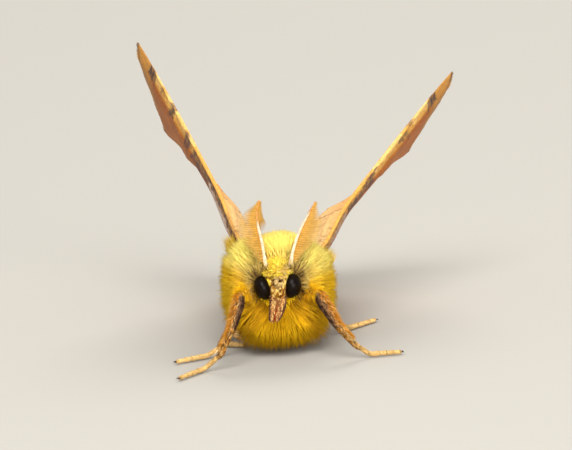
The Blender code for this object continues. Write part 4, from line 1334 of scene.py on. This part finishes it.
def distance_to(points, lines):
    best = np.full(len(points), 1e9)
    for line in lines:
        for p, q in zip(line, line[1:]):
            span = q - p
            t = np.clip(((points - p) @ span) / max(np.dot(span, span), 1e-12), 0, 1)
            best = np.minimum(best, np.linalg.norm(points - p - t[:, None] * span, axis=1))
    return best


square = np.array([(0.0, 0.0), (2.0, 0.0), (2.0, 2.0), (0.0, 2.0)])
print("inside a square, and beyond it:", inside(np.array([(1.0, 1.0), (3.0, 1.0)]), square))

# %% Triangulate a flat wing
CURVE_STEP, TEETH_STEP, FIELD_STEP = 0.3, 0.2, (0.34, 0.3)          # from place to place
VEIN_HALF, VEIN_CLEAR, RIM_CLEAR, WELD = 0.11, 0.24, 0.09, 0.02     # all in millimetres


def wing_rim(front, teeth_edge, back):
    return np.concatenate([curve_2d(front + teeth_edge[:1], CURVE_STEP)[:-1],
                           resample(teeth_edge, TEETH_STEP)[:-1], curve_2d(teeth_edge[-1:] + back, CURVE_STEP)])


def even_field(rim, lines):
    low, high = rim.min(axis=0), rim.max(axis=0)
    xs, ys = np.meshgrid(np.arange(low[0], high[0], FIELD_STEP[0]), np.arange(low[1], high[1], FIELD_STEP[1]))
    field = np.stack([xs + 0.17 * (np.arange(xs.shape[0]) % 2)[:, None], ys], 2).reshape(-1, 2)
    field += rng.uniform(-0.03, 0.03, field.shape)
    return field[distance_to(field, lines) > VEIN_CLEAR]


def flat_wing(rim, closed_rim, lines):
    """Places and triangles of a wing that is still flat."""
    beside = []
    for line in lines:
        runs = unit(np.gradient(line, axis=0))
        beside += [line + np.stack([-runs[:, 1], runs[:, 0]], 1) * offset for offset in (-VEIN_HALF, VEIN_HALF)]
    inner = np.concatenate([*lines, *beside, even_field(rim, lines)])
    inner = inner[inside(inner, rim) & (distance_to(inner, closed_rim) > RIM_CLEAR)]
    edges = [(i, (i + 1) % len(rim)) for i in range(len(rim))]
    flat = [Vector(p) for p in np.concatenate([rim, inner])]
    verts, _, faces, _, _, _ = delaunay_2d_cdt(flat, edges, [], 1, WELD)
    verts, faces = np.array([tuple(v) for v in verts]), np.array(faces)
    faces = faces[inside(verts[faces].mean(axis=1), rim)]
    used, faces = np.unique(faces, return_inverse=True)
    return verts[used], faces.reshape(-1, 3)


print("places on a forewing's rim:", len(wing_rim(FORE_FRONT, scalloped(FORE_TEETH, *FORE_SCALLOP), FORE_BACK)))

# %% [markdown]
# Then the flat wing gets its two faces. Both are the same triangles, lifted to either side of the bent
# sheet by half the thickness, which is greater on the veins and along the front edge. A skirt of quads
# closes the rim. Each vertex keeps its (a, b) place in the attribute `sheet`, which the wing's pattern is
# painted by, with 0 for the inner face and 1 for the outer one, the wing's underside.

# %% Thickness and faces of a membrane
WING_HALF_THICK, VEIN_LIFT = 0.045, 0.06


def half_thickness(ab, closed_rim, front, ridge, edge_swell):
    taper = 1.0 - 0.6 * smoothstep(6.0, 15.0, ab[:, 0])
    rim_thin = smoothstep(0.0, 0.5, distance_to(ab, closed_rim)) * 0.5 + 0.5
    to_front = distance_to(ab, [curve_2d(front, CURVE_STEP)])
    edge = smoothstep(0.4, 0.05, to_front) * smoothstep(17.0, 9.0, ab[:, 0])
    return (WING_HALF_THICK * rim_thin + VEIN_LIFT * ridge * taper + edge_swell * edge)[:, None]


def closed_faces(faces, count):
    """The inner face, the outer face turned about, and the skirt between their rims."""
    edges = dict.fromkeys((i, j) for f in faces for i, j in zip(f, f[1:] + f[:1]))
    skirt = [(j, i, i + count, j + count) for i, j in edges if (j, i) not in edges]
    return [tuple(f) for f in faces] + [(f[0] + count, f[2] + count, f[1] + count) for f in faces] + skirt


print("a lone triangle closes up with", len(closed_faces([[0, 1, 2]], 3)), "faces")

# %% Make a membrane
def make_membrane(name, sheet, height, front, teeth_edge, back, veins, finish, edge_swell):
    rim = wing_rim(front, teeth_edge, back)
    closed_rim = [np.concatenate([rim, rim[:1]])]
    lines = [curve_2d(vein, CURVE_STEP) for vein in veins]
    ab, faces = flat_wing(rim, closed_rim, lines)
    ridge = np.clip(1.0 - distance_to(ab, lines) / VEIN_HALF, 0, 1)
    half = half_thickness(ab, closed_rim, front, ridge, edge_swell)
    middle, normal = sheet.place(*ab.T, height), sheet.normal(*ab.T, height)
    points = np.concatenate([middle - normal * half, middle + normal * half])
    wing = mesh_object(name, points, closed_faces(faces.tolist(), len(ab)), finish)
    bm = bmesh.new()
    bm.from_mesh(wing.data)
    bmesh.ops.recalc_face_normals(bm, faces=bm.faces)
    bm.to_mesh(wing.data)
    bm.free()
    side = np.repeat((0.0, 1.0), len(ab))[:, None]
    layer = wing.data.attributes.new("sheet", "FLOAT_VECTOR", "POINT")
    layer.data.foreach_set("vector", np.hstack([np.concatenate([ab, ab]), side]).ravel())
    layer = wing.data.attributes.new("vein", "FLOAT", "POINT")
    layer.data.foreach_set("value", np.concatenate([ridge, ridge]))
    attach(wing, "root")
    print(f"{name}: {len(ab)} places, {len(wing.data.polygons)} faces")
    return wing


# %% [markdown]
# ## The pattern of the wings
#
# Thorn moths wear the colours of autumn: ochre above, deep orange-brown below, with short brown streaks
# across, two dark lines from edge to edge and a spot between them. On the forewings the dark underside is
# partly its own orange-brown and partly painted shade. The front edge is dusted grey and purple in blocks.
# All of it is drawn from (a, b), so it sits on the wing like paint.
#
# The pattern is built from soft masks, numbers from 0 to 1. A `ramp` climbs from 0 to 1 between two
# values, a `band` is 1 near a value, masks are multiplied where both must hold, and a colour is then
# painted over what is there.

# %% Sums and masks in nodes
def math_node(tree, operation, first, second=0.0, clamp=False):
    node = add_node(tree, "ShaderNodeMath", {"operation": operation, "use_clamp": clamp}, {0: first, 1: second})
    return node.outputs[0]


def times(tree, first, *others):
    for other in others:
        first = math_node(tree, "MULTIPLY", first, other)
    return first


def plus(tree, first, second):
    return math_node(tree, "ADD", first, second)


def minus(tree, first, second):
    return math_node(tree, "SUBTRACT", first, second)


# %% Masks in nodes
def ramp(tree, value, low, high):
    return map_range(tree, value, low, high, curve="SMOOTHSTEP")


def band(tree, value, middle, half, soft):
    return ramp(tree, math_node(tree, "ABSOLUTE", minus(tree, value, middle)), half + soft, half)


def wander(tree, value, noise_value, amount):
    """A value that strays to both sides by a noise."""
    return plus(tree, value, times(tree, minus(tree, noise_value, 0.5), amount))


def stretched(tree, vector, by):
    return add_node(tree, "ShaderNodeVectorMath", {"operation": "MULTIPLY"}, {0: vector, 1: by}).outputs[0]


def paint_over(tree, tone, colour, mask, strength=None):
    if strength is not None:
        mask = times(tree, mask, strength)
    return mix_colour(tree, mask, tone, (*colour, 1))


# %% [markdown]
# The ground of the wing comes first: the face's colour, warm clouds in it, a paler base, and short dark
# streaks. Then come the lines across, the spot and the veins.

# %% Paint the ground and the marks
BASE_TAN, STREAK_BROWN, LINE_BROWN = (0.67, 0.455, 0.185), (0.2, 0.07, 0.02), (0.2, 0.08, 0.03)
SPOT_BROWN, VEIN_ORANGE = (0.1, 0.04, 0.02), (0.5, 0.2, 0.04)
STREAK_STRETCH = (3.4, 0.9, 5.0)


def wing_ground(tree, sheet, a, b, face, clouds, upper, under):
    tone = mix_colour(tree, face, (*upper, 1), (*under, 1))
    cloud_colour = (upper[0] * 0.8, upper[1] * 0.55, upper[2] * 0.4)
    tone = paint_over(tree, tone, cloud_colour, ramp(tree, clouds, 0.42, 0.66), 0.5)
    near_base = ramp(tree, minus(tree, a, times(tree, b, 0.6)), 6.0, 1.5)
    tone = paint_over(tree, tone, BASE_TAN, near_base, minus(tree, 1.0, face))
    streaks = add_node(tree, "ShaderNodeTexNoise", inputs={
        "Vector": stretched(tree, sheet, STREAK_STRETCH), "Scale": 1.0, "Detail": 4.0, "Roughness": 0.65})
    return paint_over(tree, tone, STREAK_BROWN, ramp(tree, streaks.outputs["Fac"], 0.56, 0.66), 0.6)


def wing_marks(tree, tone, a, b, clouds, vein, lines, spot):
    shifted_a = wander(tree, a, clouds, 1.6)
    for at, slope, half in lines:
        bent = plus(tree, shifted_a, times(tree, b, slope))
        tone = paint_over(tree, tone, LINE_BROWN, band(tree, bent, at, half, 0.16), 0.6)
    if spot:
        here = add_node(tree, "ShaderNodeCombineXYZ", inputs={"X": a, "Y": b}).outputs[0]
        away = add_node(tree, "ShaderNodeVectorMath", {"operation": "DISTANCE"}, {0: here, 1: (*spot, 0.0)})
        tone = paint_over(tree, tone, SPOT_BROWN, band(tree, away.outputs["Value"], 0.26, 0.09, 0.12), 0.8)
    return paint_over(tree, tone, VEIN_ORANGE, vein, 0.35)


# %% [markdown]
# The front edge is what the camera sees most of. It is treated as a ribbon: across it, 0 is the edge of
# the inner face, 1 the outer corner, and more lies behind that on the outer face. Blocks of cream, grey
# and purple scales are placed along it and torn at their borders by noise.

# %% Paint the front edge
EDGE_OCHRE, TIP_OCHRE = (0.64, 0.32, 0.06), (0.42, 0.19, 0.035)


def front_edge(tree, tone, sheet, a, b, face, patches):
    grains = noise(tree, stretched(tree, sheet, STREAK_STRETCH), 1.7)
    behind = times(tree, plus(tree, b, 0.45), 2.0)
    ribbon = plus(tree, face, times(tree, face, behind))
    on_edge = times(tree, ramp(tree, ribbon, 2.9, 2.3), ramp(tree, b, 0.6, 0.3))
    tone = paint_over(tree, tone, EDGE_OCHRE, on_edge)
    tone = paint_over(tree, tone, TIP_OCHRE, ramp(tree, a, 13.9, 15.0), 0.9)
    ragged = noise(tree, sheet, 2.2, 4.0, output="Color")
    ragged = add_node(tree, "ShaderNodeSeparateColor", inputs={"Color": ragged}).outputs
    torn_a, torn_ribbon = wander(tree, a, ragged[0], 1.5), wander(tree, ribbon, ragged[1], 1.6)
    near_edge = ramp(tree, b, 1.7, 0.9)
    speckles = times(tree, ramp(tree, grains, 0.38, 0.6), 0.4)
    for middle, half, low, high, colour, strength in patches:
        across = times(tree, ramp(tree, torn_ribbon, low - 0.25, low + 0.2),
                       ramp(tree, torn_ribbon, high + 0.3, high - 0.2))
        block = times(tree, band(tree, torn_a, middle, half, 0.25), across, near_edge)
        mask = math_node(tree, "MULTIPLY", block, plus(tree, speckles, strength - 0.4), clamp=True)
        tone = paint_over(tree, tone, colour, mask)
    return tone


# %% [markdown]
# Last comes the grain of single scales, as cells of slightly different lightness with a low relief.

# %% Put the paint together
SCALE_STRETCH = (7.0, 13.0, 3.0)


def wing_paint(name, upper, under, lines, spot=None, patches=()):
    mat, tree, shader = new_finish(name, 0.6, 0.3)
    sheet = attribute(tree, "sheet", "Vector")
    a, b, face = add_node(tree, "ShaderNodeSeparateXYZ", inputs={"Vector": sheet}).outputs
    clouds = noise(tree, sheet, 0.55, 3.0)
    tone = wing_ground(tree, sheet, a, b, face, clouds, upper, under)
    tone = wing_marks(tree, tone, a, b, clouds, attribute(tree, "vein", "Fac"), lines, spot)
    if patches:
        tone = front_edge(tree, tone, sheet, a, b, face, patches)
    grain_place = stretched(tree, sheet, SCALE_STRETCH)
    cells = add_node(tree, "ShaderNodeTexVoronoi", inputs={"Vector": grain_place, "Scale": 1.0})
    cell_tones = add_node(tree, "ShaderNodeSeparateColor", inputs={"Color": cells.outputs["Color"]}).outputs
    tone = lightened(tree, tone, map_range(tree, cell_tones["Red"], 0.0, 1.0, 0.8, 1.16))
    tree.links.new(tone, shader.inputs["Base Color"])
    add_relief(tree, shader, cells.outputs["Distance"], 0.35, SCALE_RELIEF)
    print(f"{name}: {len(tree.nodes)} nodes")
    return mat


# %% [markdown]
# The blocks are the only part of the pattern that was placed one by one, and each side has its own. Cream comes
# first in each list, because what comes later is painted over it.

# %% Choose the wings' colours
DARK_SPOT, PURPLE = (0.05, 0.028, 0.028), (0.085, 0.045, 0.045)
LIGHT_GREY, CREAM_PATCH = (0.55, 0.46, 0.4), (0.88, 0.58, 0.2)
# Middle and half length along the ribbon, from and to across it, colour, strength.
EDGE_PATCHES = {
    "right": [
        (13.7, 0.4, 0.0, 2.1, CREAM_PATCH, 0.75), (11.8, 0.35, 0.0, 2.1, CREAM_PATCH, 0.8),
        (10.3, 0.8, 0.0, 2.0, CREAM_PATCH, 0.6), (8.5, 0.35, 0.1, 1.6, CREAM_PATCH, 0.85),
        (14.5, 0.3, 0.2, 2.9, DARK_SPOT, 0.95), (13.0, 0.15, 0.6, 2.4, PURPLE, 0.65),
        (11.3, 0.22, 0.0, 2.7, DARK_SPOT, 0.9), (9.06, 0.28, 0.5, 3.2, PURPLE, 0.9),
        (6.9, 1.2, 1.2, 3.5, PURPLE, 0.9), (3.4, 2.4, 1.2, 2.6, PURPLE, 0.95),
        (3.6, 1.8, 2.7, 4.3, LIGHT_GREY, 0.95), (1.2, 1.4, 0.3, 2.0, PURPLE, 0.6),
    ],
    "left": [
        (13.7, 0.35, 0.0, 2.0, CREAM_PATCH, 0.8), (12.7, 0.4, 0.0, 2.0, CREAM_PATCH, 0.8),
        (9.2, 1.5, 0.1, 1.9, CREAM_PATCH, 0.75), (14.45, 0.3, 0.1, 2.8, DARK_SPOT, 0.95),
        (11.9, 0.22, -0.5, 1.5, PURPLE, 0.8), (11.1, 0.45, 1.5, 2.5, DARK_SPOT, 0.7),
        (7.15, 0.5, 0.5, 3.4, PURPLE, 0.95), (5.4, 0.9, 2.2, 3.4, PURPLE, 0.95),
        (3.0, 1.9, 1.0, 3.4, PURPLE, 0.62), (2.6, 1.5, 2.2, 3.6, LIGHT_GREY, 0.5),
    ],
}


def forewing_paint(side):
    # The outer face, the underside, is darker: partly its own orange-brown, partly painted shade.
    return wing_paint("forewing_paint_" + side, (0.74, 0.35, 0.07), (0.37, 0.1, 0.008),
                      lines=[(6.4, 0.12, 0.09), (11.6, 0.28, 0.1)], spot=(8.7, 2.6), patches=EDGE_PATCHES[side])


def hindwing_paint(side):
    return wing_paint("hindwing_paint_" + side, (0.8, 0.46, 0.14), (0.6, 0.26, 0.05), lines=[(6.0, -0.3, 0.12)])


print("blocks on the front edges:", {side: len(blocks) for side, blocks in EDGE_PATCHES.items()})

# %% [markdown]
# A wing ends in a fringe of scales. They root just inside the rim, by turns on the upper and the lower
# face, point straight out from it, and are darkest at the teeth.

# %% Fringe the edge of a wing
FRINGE_STEP, UV_SPAN = 0.016, 18.0
FRINGE_OCHRE, FRINGE_BROWN = (0.74, 0.42, 0.13), (0.16, 0.06, 0.025)


def wing_fringe(name, sheet, height, edge, teeth):
    rim = resample(edge, FRINGE_STEP)
    count = len(rim)
    runs = unit(np.gradient(rim, axis=0))
    out = np.stack([runs[:, 1], -runs[:, 0]], 1)
    wing_middle = rim.mean(axis=0) * 0.5 + np.array((4.0, 2.5)) * 0.5
    out = out * np.sign(np.sum(out * (rim - wing_middle), axis=1))[:, None]
    roots_ab = rim - out * rng.uniform(0.02, 0.12, (count, 1))
    roots, normals = sheet.place(*roots_ab.T, height), sheet.normal(*roots_ab.T, height)
    normals = normals * np.where(np.arange(count) % 2, 1.0, -1.0)[:, None]
    lies = sheet.along * out[:, :1] + sheet.across * out[:, 1:] + rng.normal(0.0, 0.12, roots.shape)
    from_tooth = np.min(np.linalg.norm(rim[:, None] - np.array(teeth)[None], axis=2), axis=1)
    colours = blend_to(painted(FRINGE_OCHRE, count), FRINGE_BROWN, smoothstep(0.9, 0.2, from_tooth) * 0.85)
    lengths = rng.uniform(0.26, 0.4, count)
    return grow_coat(name, roots, normals, lies, lengths, (0.035, 0.06), (3.0, 0.0), colours, scale_coat_finish,
                     uv_places=np.clip(rim / UV_SPAN, 0.01, 0.99), sunk=0.0, flat=0.25)


print("from blade to blade of a fringe:", FRINGE_STEP, "mm")

# %% [markdown]
# With the outline, the sheet, the paint and the fringe at hand, the four wings are one loop. Forewings are
# also thickened along their front edge, where several veins run side by side.

# %% Make the four wings
EDGE_SWELL = {"forewing": 0.09, "hindwing": 0.0}        # millimetres added along the front edge

for side, sheet in SHEETS.items():
    for kind, height, front, teeth, scallop, back_edge, veins, paint in (
            ("forewing", sheet.fore_height, FORE_FRONT, FORE_TEETH, FORE_SCALLOP, FORE_BACK, FORE_VEINS,
             forewing_paint(side)),
            ("hindwing", sheet.hind_height, HIND_FRONT, HIND_TEETH, HIND_SCALLOP, HIND_BACK, HIND_VEINS,
             hindwing_paint(side))):
        edge = scalloped(teeth, *scallop)
        wing = make_membrane(f"{kind}_membrane_{side}", sheet, height, front, edge, back_edge, veins, paint,
                             EDGE_SWELL[kind])
        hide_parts(f"{kind}_{side}")
        coat = wing_fringe(f"{kind}_fringe_{side}", sheet, height, edge + back_edge[:1], teeth)

# %% [markdown]
# ## Legs
#
# A leg goes hip, thigh, shin and five-jointed foot. The front thighs are dark purple-brown inside with an
# orange fringe outside; shins are orange-brown with a pale streak; feet are cream and end in two dark
# claws. Scales lie along each leg towards the foot, which hides the joints a little.
#
# Six points give a leg: where it roots, hip, knee, ankle, where the foot comes down, and its tip. The
# swellings between them are placed by shares of each stretch, and a running number says what a place
# belongs to: 1 to 2 is the thigh, 2 to 3 the shin, 3 to 5 the foot.

# %% The lines of the legs
LEGS = {
    "fore_right": [(-1.2, 1.2, 3.2), (-2.12, -0.2, 4.05), (-2.85, -2.0, 2.48),
                   (-3.78, -2.1, 0.88), (-4.7, -2.2, 0.22), (-6.21, -3.78, 0.18)],
    "fore_left": [(1.4, 1.2, 3.0), (2.2, -0.2, 3.8), (3.25, -1.8, 2.08),
                  (4.42, -1.7, 0.72), (5.18, -1.65, 0.22), (6.94, -1.55, 0.18)],
    "mid_right": [(-1.0, 2.2, 1.4), (-1.75, 1.75, 0.9), (-3.0, 0.9, 1.5),
                  (-3.75, 0.9, 0.5), (-4.4, 0.75, 0.22), (-6.22, 0.0, 0.18)],
    "mid_left": [(1.2, 3.0, 1.3), (2.1, 3.0, 0.85), (3.0, 3.6, 1.35),
                 (3.97, 4.4, 0.42), (4.5, 5.0, 0.22), (6.12, 6.46, 0.18)],
    "hind_right": [(-0.7, 4.8, 1.4), (-1.35, 5.5, 0.95), (-2.4, 6.1, 1.25),
                   (-2.95, 4.4, 0.5), (-2.95, 3.1, 0.22), (-2.05, 2.75, 0.18)],
    "hind_left": [(0.9, 4.8, 1.5), (1.7, 5.4, 0.95), (2.6, 7.6, 1.6),
                  (2.75, 9.7, 0.45), (2.85, 10.6, 0.22), (3.1, 13.0, 0.18)],
}
LEG_RADII = [0.24, 0.18, 0.265, 0.19, 0.17, 0.19, 0.155, 0.13, 0.14]
LEG_PASSED = [0.0, 1.0, 1.35, 1.88, 2.1, 2.5, 3.0, 3.1, 4.0]
FOOT_RADII = {0.24: 0.155, 0.27: 0.12, 0.48: 0.15, 0.51: 0.115, 0.7: 0.145, 0.73: 0.11, 0.94: 0.13, 1.0: 0.07}


def leg_line(joints):
    """The leg's line with its swellings, and for each place how many joints it has passed."""
    root, hip, knee, ankle, down, tip = (np.array(p) for p in joints)
    places = [root, hip, hip + (knee - hip) * 0.35, hip + (knee - hip) * 0.88, knee + (ankle - knee) * 0.1,
              knee + (ankle - knee) * 0.5, ankle, ankle + (down - ankle) * 0.1, down]
    places += [down + (tip - down) * t for t in FOOT_RADII]
    passed = LEG_PASSED + [4.0 + t for t in FOOT_RADII]
    line, radii, index = smooth_line(places, LEG_RADII + list(FOOT_RADII.values()), 0.07)
    return line, radii, np.interp(index, np.arange(len(passed)), passed)


print("legs:", ", ".join(f"{name} {len(leg_line(joints)[0])} rings" for name, joints in LEGS.items()))

# %% [markdown]
# The colours follow the same running number. `outer` is 1 on the side that faces away from the body.
# Single scales are then picked out by a random number each, like the flecks of the face.

# %% Colours of the legs
THIGH_FRINGE, SHIN_ORANGE, PALE_STREAK = (0.52, 0.2, 0.014), (0.37, 0.16, 0.022), (0.7, 0.46, 0.17)
DARK_THIGH, TAN_THIGH, FOOT_CREAM = (0.028, 0.012, 0.007), (0.2, 0.105, 0.045), (0.55, 0.35, 0.125)
HIP_YELLOW, FAR_LEG_TAN = (0.6, 0.34, 0.02), (0.74, 0.48, 0.18)
THIGH_FLECK, PALE_FLECK, ORANGE_FLECK = (0.17, 0.085, 0.04), (0.66, 0.42, 0.15), (0.55, 0.21, 0.03)
DARK_FLECK, FAR_LEG_FLECK = (0.07, 0.028, 0.015), (0.3, 0.15, 0.07)


def leg_colour(points, normals, passed, sign, fore):
    count = len(points)
    outer = normals @ np.array((sign * 0.86, -0.1, 0.35))
    streaks = np.sin(points[:, 0] * 9.0 + points[:, 2] * 7.0)
    thigh = blend_to(painted(TAN_THIGH, count), THIGH_FRINGE, smoothstep(0.4, 0.75, outer))
    thigh = blend_to(thigh, DARK_THIGH, smoothstep(0.05, -0.3, outer) * (1.0 if fore else 0.35))
    thigh = blend_to(thigh, HIP_YELLOW, smoothstep(1.12, 0.95, passed))
    shin = blend_to(painted(SHIN_ORANGE, count), PALE_STREAK, smoothstep(0.2, 0.6, streaks) * 0.7)
    shin = blend_to(shin, DARK_THIGH, smoothstep(-0.3, -0.7, outer) * (0.6 if fore else 0.15))
    colours = np.where((passed > 2.0)[:, None], shin, thigh)
    colours = blend_to(colours, FOOT_CREAM, smoothstep(2.75, 3.15, passed))
    if not fore:
        colours = blend_to(colours, FAR_LEG_TAN, 0.55)
    return blend_to(colours, DARK_THIGH, smoothstep(4.97, 5.0, passed) * 0.7)


def leg_scale_colours(points, normals, passed, sign, fore):
    colours = leg_colour(points, normals, passed, sign, fore) * rng.uniform(0.65, 1.35, (len(points), 1))
    draw = rng.random(len(points))
    thigh = passed < 2.0
    upper_leg = within(passed, 1.15, 3.0) & ((normals[:, 0] * sign > -0.15) | (passed > 2.0))
    colours[(draw < 0.3) & thigh] *= 1.7
    if fore:
        colours[within(draw, 0.35, 0.5) & thigh] = THIGH_FLECK
    colours[(draw < 0.14) & upper_leg] = PALE_FLECK
    colours[(draw > 0.84) & upper_leg] = DARK_FLECK if fore else FAR_LEG_FLECK
    colours[within(draw, 0.72, 0.84) & upper_leg] = ORANGE_FLECK
    return colours


print("a front thigh, outside and inside:",
      leg_colour(np.zeros((2, 3)), OUT_AND_IN, np.array((1.6, 1.6)), 1.0, True).round(2).tolist())

# %% [markdown]
# Each foot ends in two hooked claws, and the middle and hind shins carry a pair of spurs near the ankle.
# Both are short tubes that narrow to a point.

# %% Claws and spurs
CLAW_BLACK, SPUR_CREAM = (0.03, 0.015, 0.01), (0.8, 0.55, 0.26)
SPUR_PLACE = 2.92           # just above the ankle
PAIR = {"in": -1.0, "out": 1.0}


def spike(name, line, radii, colour):
    piece = limb(name, np.array(line, float), np.array(radii, float), skin_finish, around=8)
    set_colours(piece, painted(colour, len(piece.data.vertices)))
    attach(piece, "root")


def add_claws(name, line):
    tip, run = line[-1], unit(line[-1] - line[-4])
    across = unit(np.cross(run, STRAIGHT_UP))
    for end, hook in PAIR.items():
        claw = [tip + across * hook * 0.02, tip + run * 0.1 + across * hook * 0.07 + STRAIGHT_UP * 0.03,
                tip + run * 0.17 + across * hook * 0.11 - STRAIGHT_UP * 0.04]
        spike(f"claw_{name}_{end}", claw, [0.035, 0.028, 0.012], CLAW_BLACK)


def add_spurs(name, base, run):
    for end, hook in PAIR.items():
        out = unit(np.cross(run, STRAIGHT_UP)) * hook
        spur = [base + out * 0.08, base + out * 0.22 + run * 0.2, base + out * 0.26 + run * 0.42]
        spike(f"spur_{name}_{end}", spur, [0.055, 0.045, 0.015], SPUR_CREAM)


print("spurs stand at place", SPUR_PLACE, "of a leg, where 3 is the ankle")

# %% [markdown]
# The six legs are one loop too. The scales are longest on the thigh and shortest on the foot, and they
# stand off less and less on the way down.

# %% Make the legs
SCALE_LENGTHS = [1.0, 2.0, 3.0, 4.0, 5.0], [0.3, 0.26, 0.2, 0.14, 0.12]
SCALE_ANGLES = [1.0, 3.0, 5.0], [24.0, 18.0, 12.0]

for name, joints in LEGS.items():
    fore = name.startswith("fore")
    sign = SIDES[name.split("_")[1]]
    line, radii, passed = leg_line(joints)
    runs = carried_frames(line)[0]
    leg = limb("leg_skin_" + name, line, radii, skin_finish)
    points, normals = mesh_points(leg)
    set_colours(leg, leg_colour(points, normals, passed[nearest_on(line, points)], sign, fore))
    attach(leg, "root")
    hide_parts("leg_" + name)
    points, normals = scatter(leg, 5200)
    near = nearest_on(line, points)
    keep = np.flatnonzero(passed[near] > 0.7)[:4200 if fore else 3600]
    points, normals, near = points[keep], normals[keep], near[keep]
    lies = runs[near] + rng.normal(0.0, 0.1, points.shape)
    lengths = np.interp(passed[near], *SCALE_LENGTHS) * rng.uniform(0.75, 1.25, len(points))
    colours = leg_scale_colours(points, normals, passed[near], sign, fore)
    angles = np.interp(passed[near], *SCALE_ANGLES), 3.0
    coat = grow_coat("leg_scales_" + name, points, normals, lies, lengths, (0.04, 0.075), angles, colours,
                     scale_coat_finish, line.mean(axis=0), sunk=0.02, flat=0.2)
    add_claws(name, line)
    if not fore:
        ankle = np.argmin(np.abs(passed - SPUR_PLACE))
        add_spurs(name, line[ankle], runs[ankle])

# %% [markdown]
# The front thighs carry a fringe: longer orange hairs along the outer side, which widen the thigh when
# seen from the front. Their hips are sunk in yellow fur, which is darkened a little with painted shade.

# %% Two coats for the front legs
FRINGE_HAIRS, HIP_HAIRS = 700, 1100
FRINGE_ORANGE, FRINGE_PALE = (0.54, 0.215, 0.014), np.array((0.68, 0.42, 0.13))


def thigh_fringe(name, sign, line, radii, passed, runs):
    at = np.searchsorted(passed, rng.uniform(1.0, 2.6, FRINGE_HAIRS))
    outward = np.array((sign, 0.1, 0.3)) + rng.normal(0.0, 0.24, (FRINGE_HAIRS, 3))
    outward = along_skin(outward, runs[at])
    along = runs[at] * rng.uniform(-0.05, 0.05, (FRINGE_HAIRS, 1))
    roots = line[at] + outward * radii[at][:, None] * 0.9 + along
    lengths = np.interp(passed[at], [1.0, 1.9, 2.6], [0.66, 0.55, 0.3]) * rng.uniform(0.65, 1.2, FRINGE_HAIRS)
    colours = painted(FRINGE_ORANGE, FRINGE_HAIRS) * rng.uniform(0.6, 1.3, (FRINGE_HAIRS, 1))
    colours = np.where(rng.random((FRINGE_HAIRS, 1)) < 0.25, FRINGE_PALE, colours)
    lies = runs[at] + rng.normal(0.0, 0.1, (FRINGE_HAIRS, 3))
    coat = grow_coat("thigh_fringe_" + name, roots, outward, lies, lengths, (0.025, 0.05), (50.0, 22.0),
                     colours, fur_finish, line.mean(axis=0), tips=paler(colours, 1.2))


def hip_fur(name, line, radii, passed, runs):
    at = np.searchsorted(passed, rng.uniform(0.0, 1.02, HIP_HAIRS))
    around = unit(np.cross(runs[at], unit(rng.normal(0.0, 1.0, (HIP_HAIRS, 3)))))
    roots = line[at] + around * radii[at][:, None] * 0.9
    ways = unit(roots - FACE_POINT) + rng.normal(0.0, 0.15, (HIP_HAIRS, 3)) + np.array((0.0, -0.2, 0.0))
    colours = thorax_colour(roots + ways * 0.5) * rng.uniform(0.85, 1.1, (HIP_HAIRS, 1))
    # Painted shade: the hips' fur is darkened a little, where the hips sink into the fur.
    colours = blend_to(colours, HOLLOW_PAINTED_SHADE, 0.3)
    coat = grow_coat("hip_fur_" + name, roots, around, ways, rng.uniform(0.4, 0.75, HIP_HAIRS), (0.035, 0.06),
                     (40.0, 14.0), colours, fur_finish, tips=paler(colours, 1.15))


for name in ("fore_right", "fore_left"):
    line, radii, passed = leg_line(LEGS[name])
    runs = carried_frames(line)[0]
    thigh_fringe(name, SIDES[name.split("_")[1]], line, radii, passed, runs)
    hip_fur(name, line, radii, passed, runs)

# %% [markdown]
# ## The abdomen
#
# Behind the thorax the fur turns short, flat and ochre, lies towards the tail, and ends in a small brush.
# The rings of the abdomen show as faint paler bands.

# %% Lay the fur of the abdomen
ABDOMEN_HAIRS = 9500
ABDOMEN_MIDDLE = np.array((0.1, 9.5, 2.0))

points, normals = scatter(skin, 60000)
keep = (points[:, 1] > 5.3) & (points[:, 2] > 0.05)
points, normals = points[keep][:ABDOMEN_HAIRS], normals[keep][:ABDOMEN_HAIRS]
y, count = points[:, 1], len(points)
lies = np.tile(np.array((0.0, 1.0, -0.25)), (count, 1)) + rng.normal(0.0, 0.12, points.shape)
tail = smoothstep(13.2, 15.0, y)
lengths = (0.42 + 0.3 * smoothstep(8.0, 5.5, y)) * rng.uniform(0.75, 1.25, count) * (1.0 - 0.45 * tail)
colours = abdomen_colour(points) * rng.uniform(0.82, 1.16, (count, 1))
coat = grow_coat("abdomen_fur", points, normals, lies, lengths, (0.05, 0.09), (24.0, 5.0), colours, fur_finish,
                 ABDOMEN_MIDDLE)
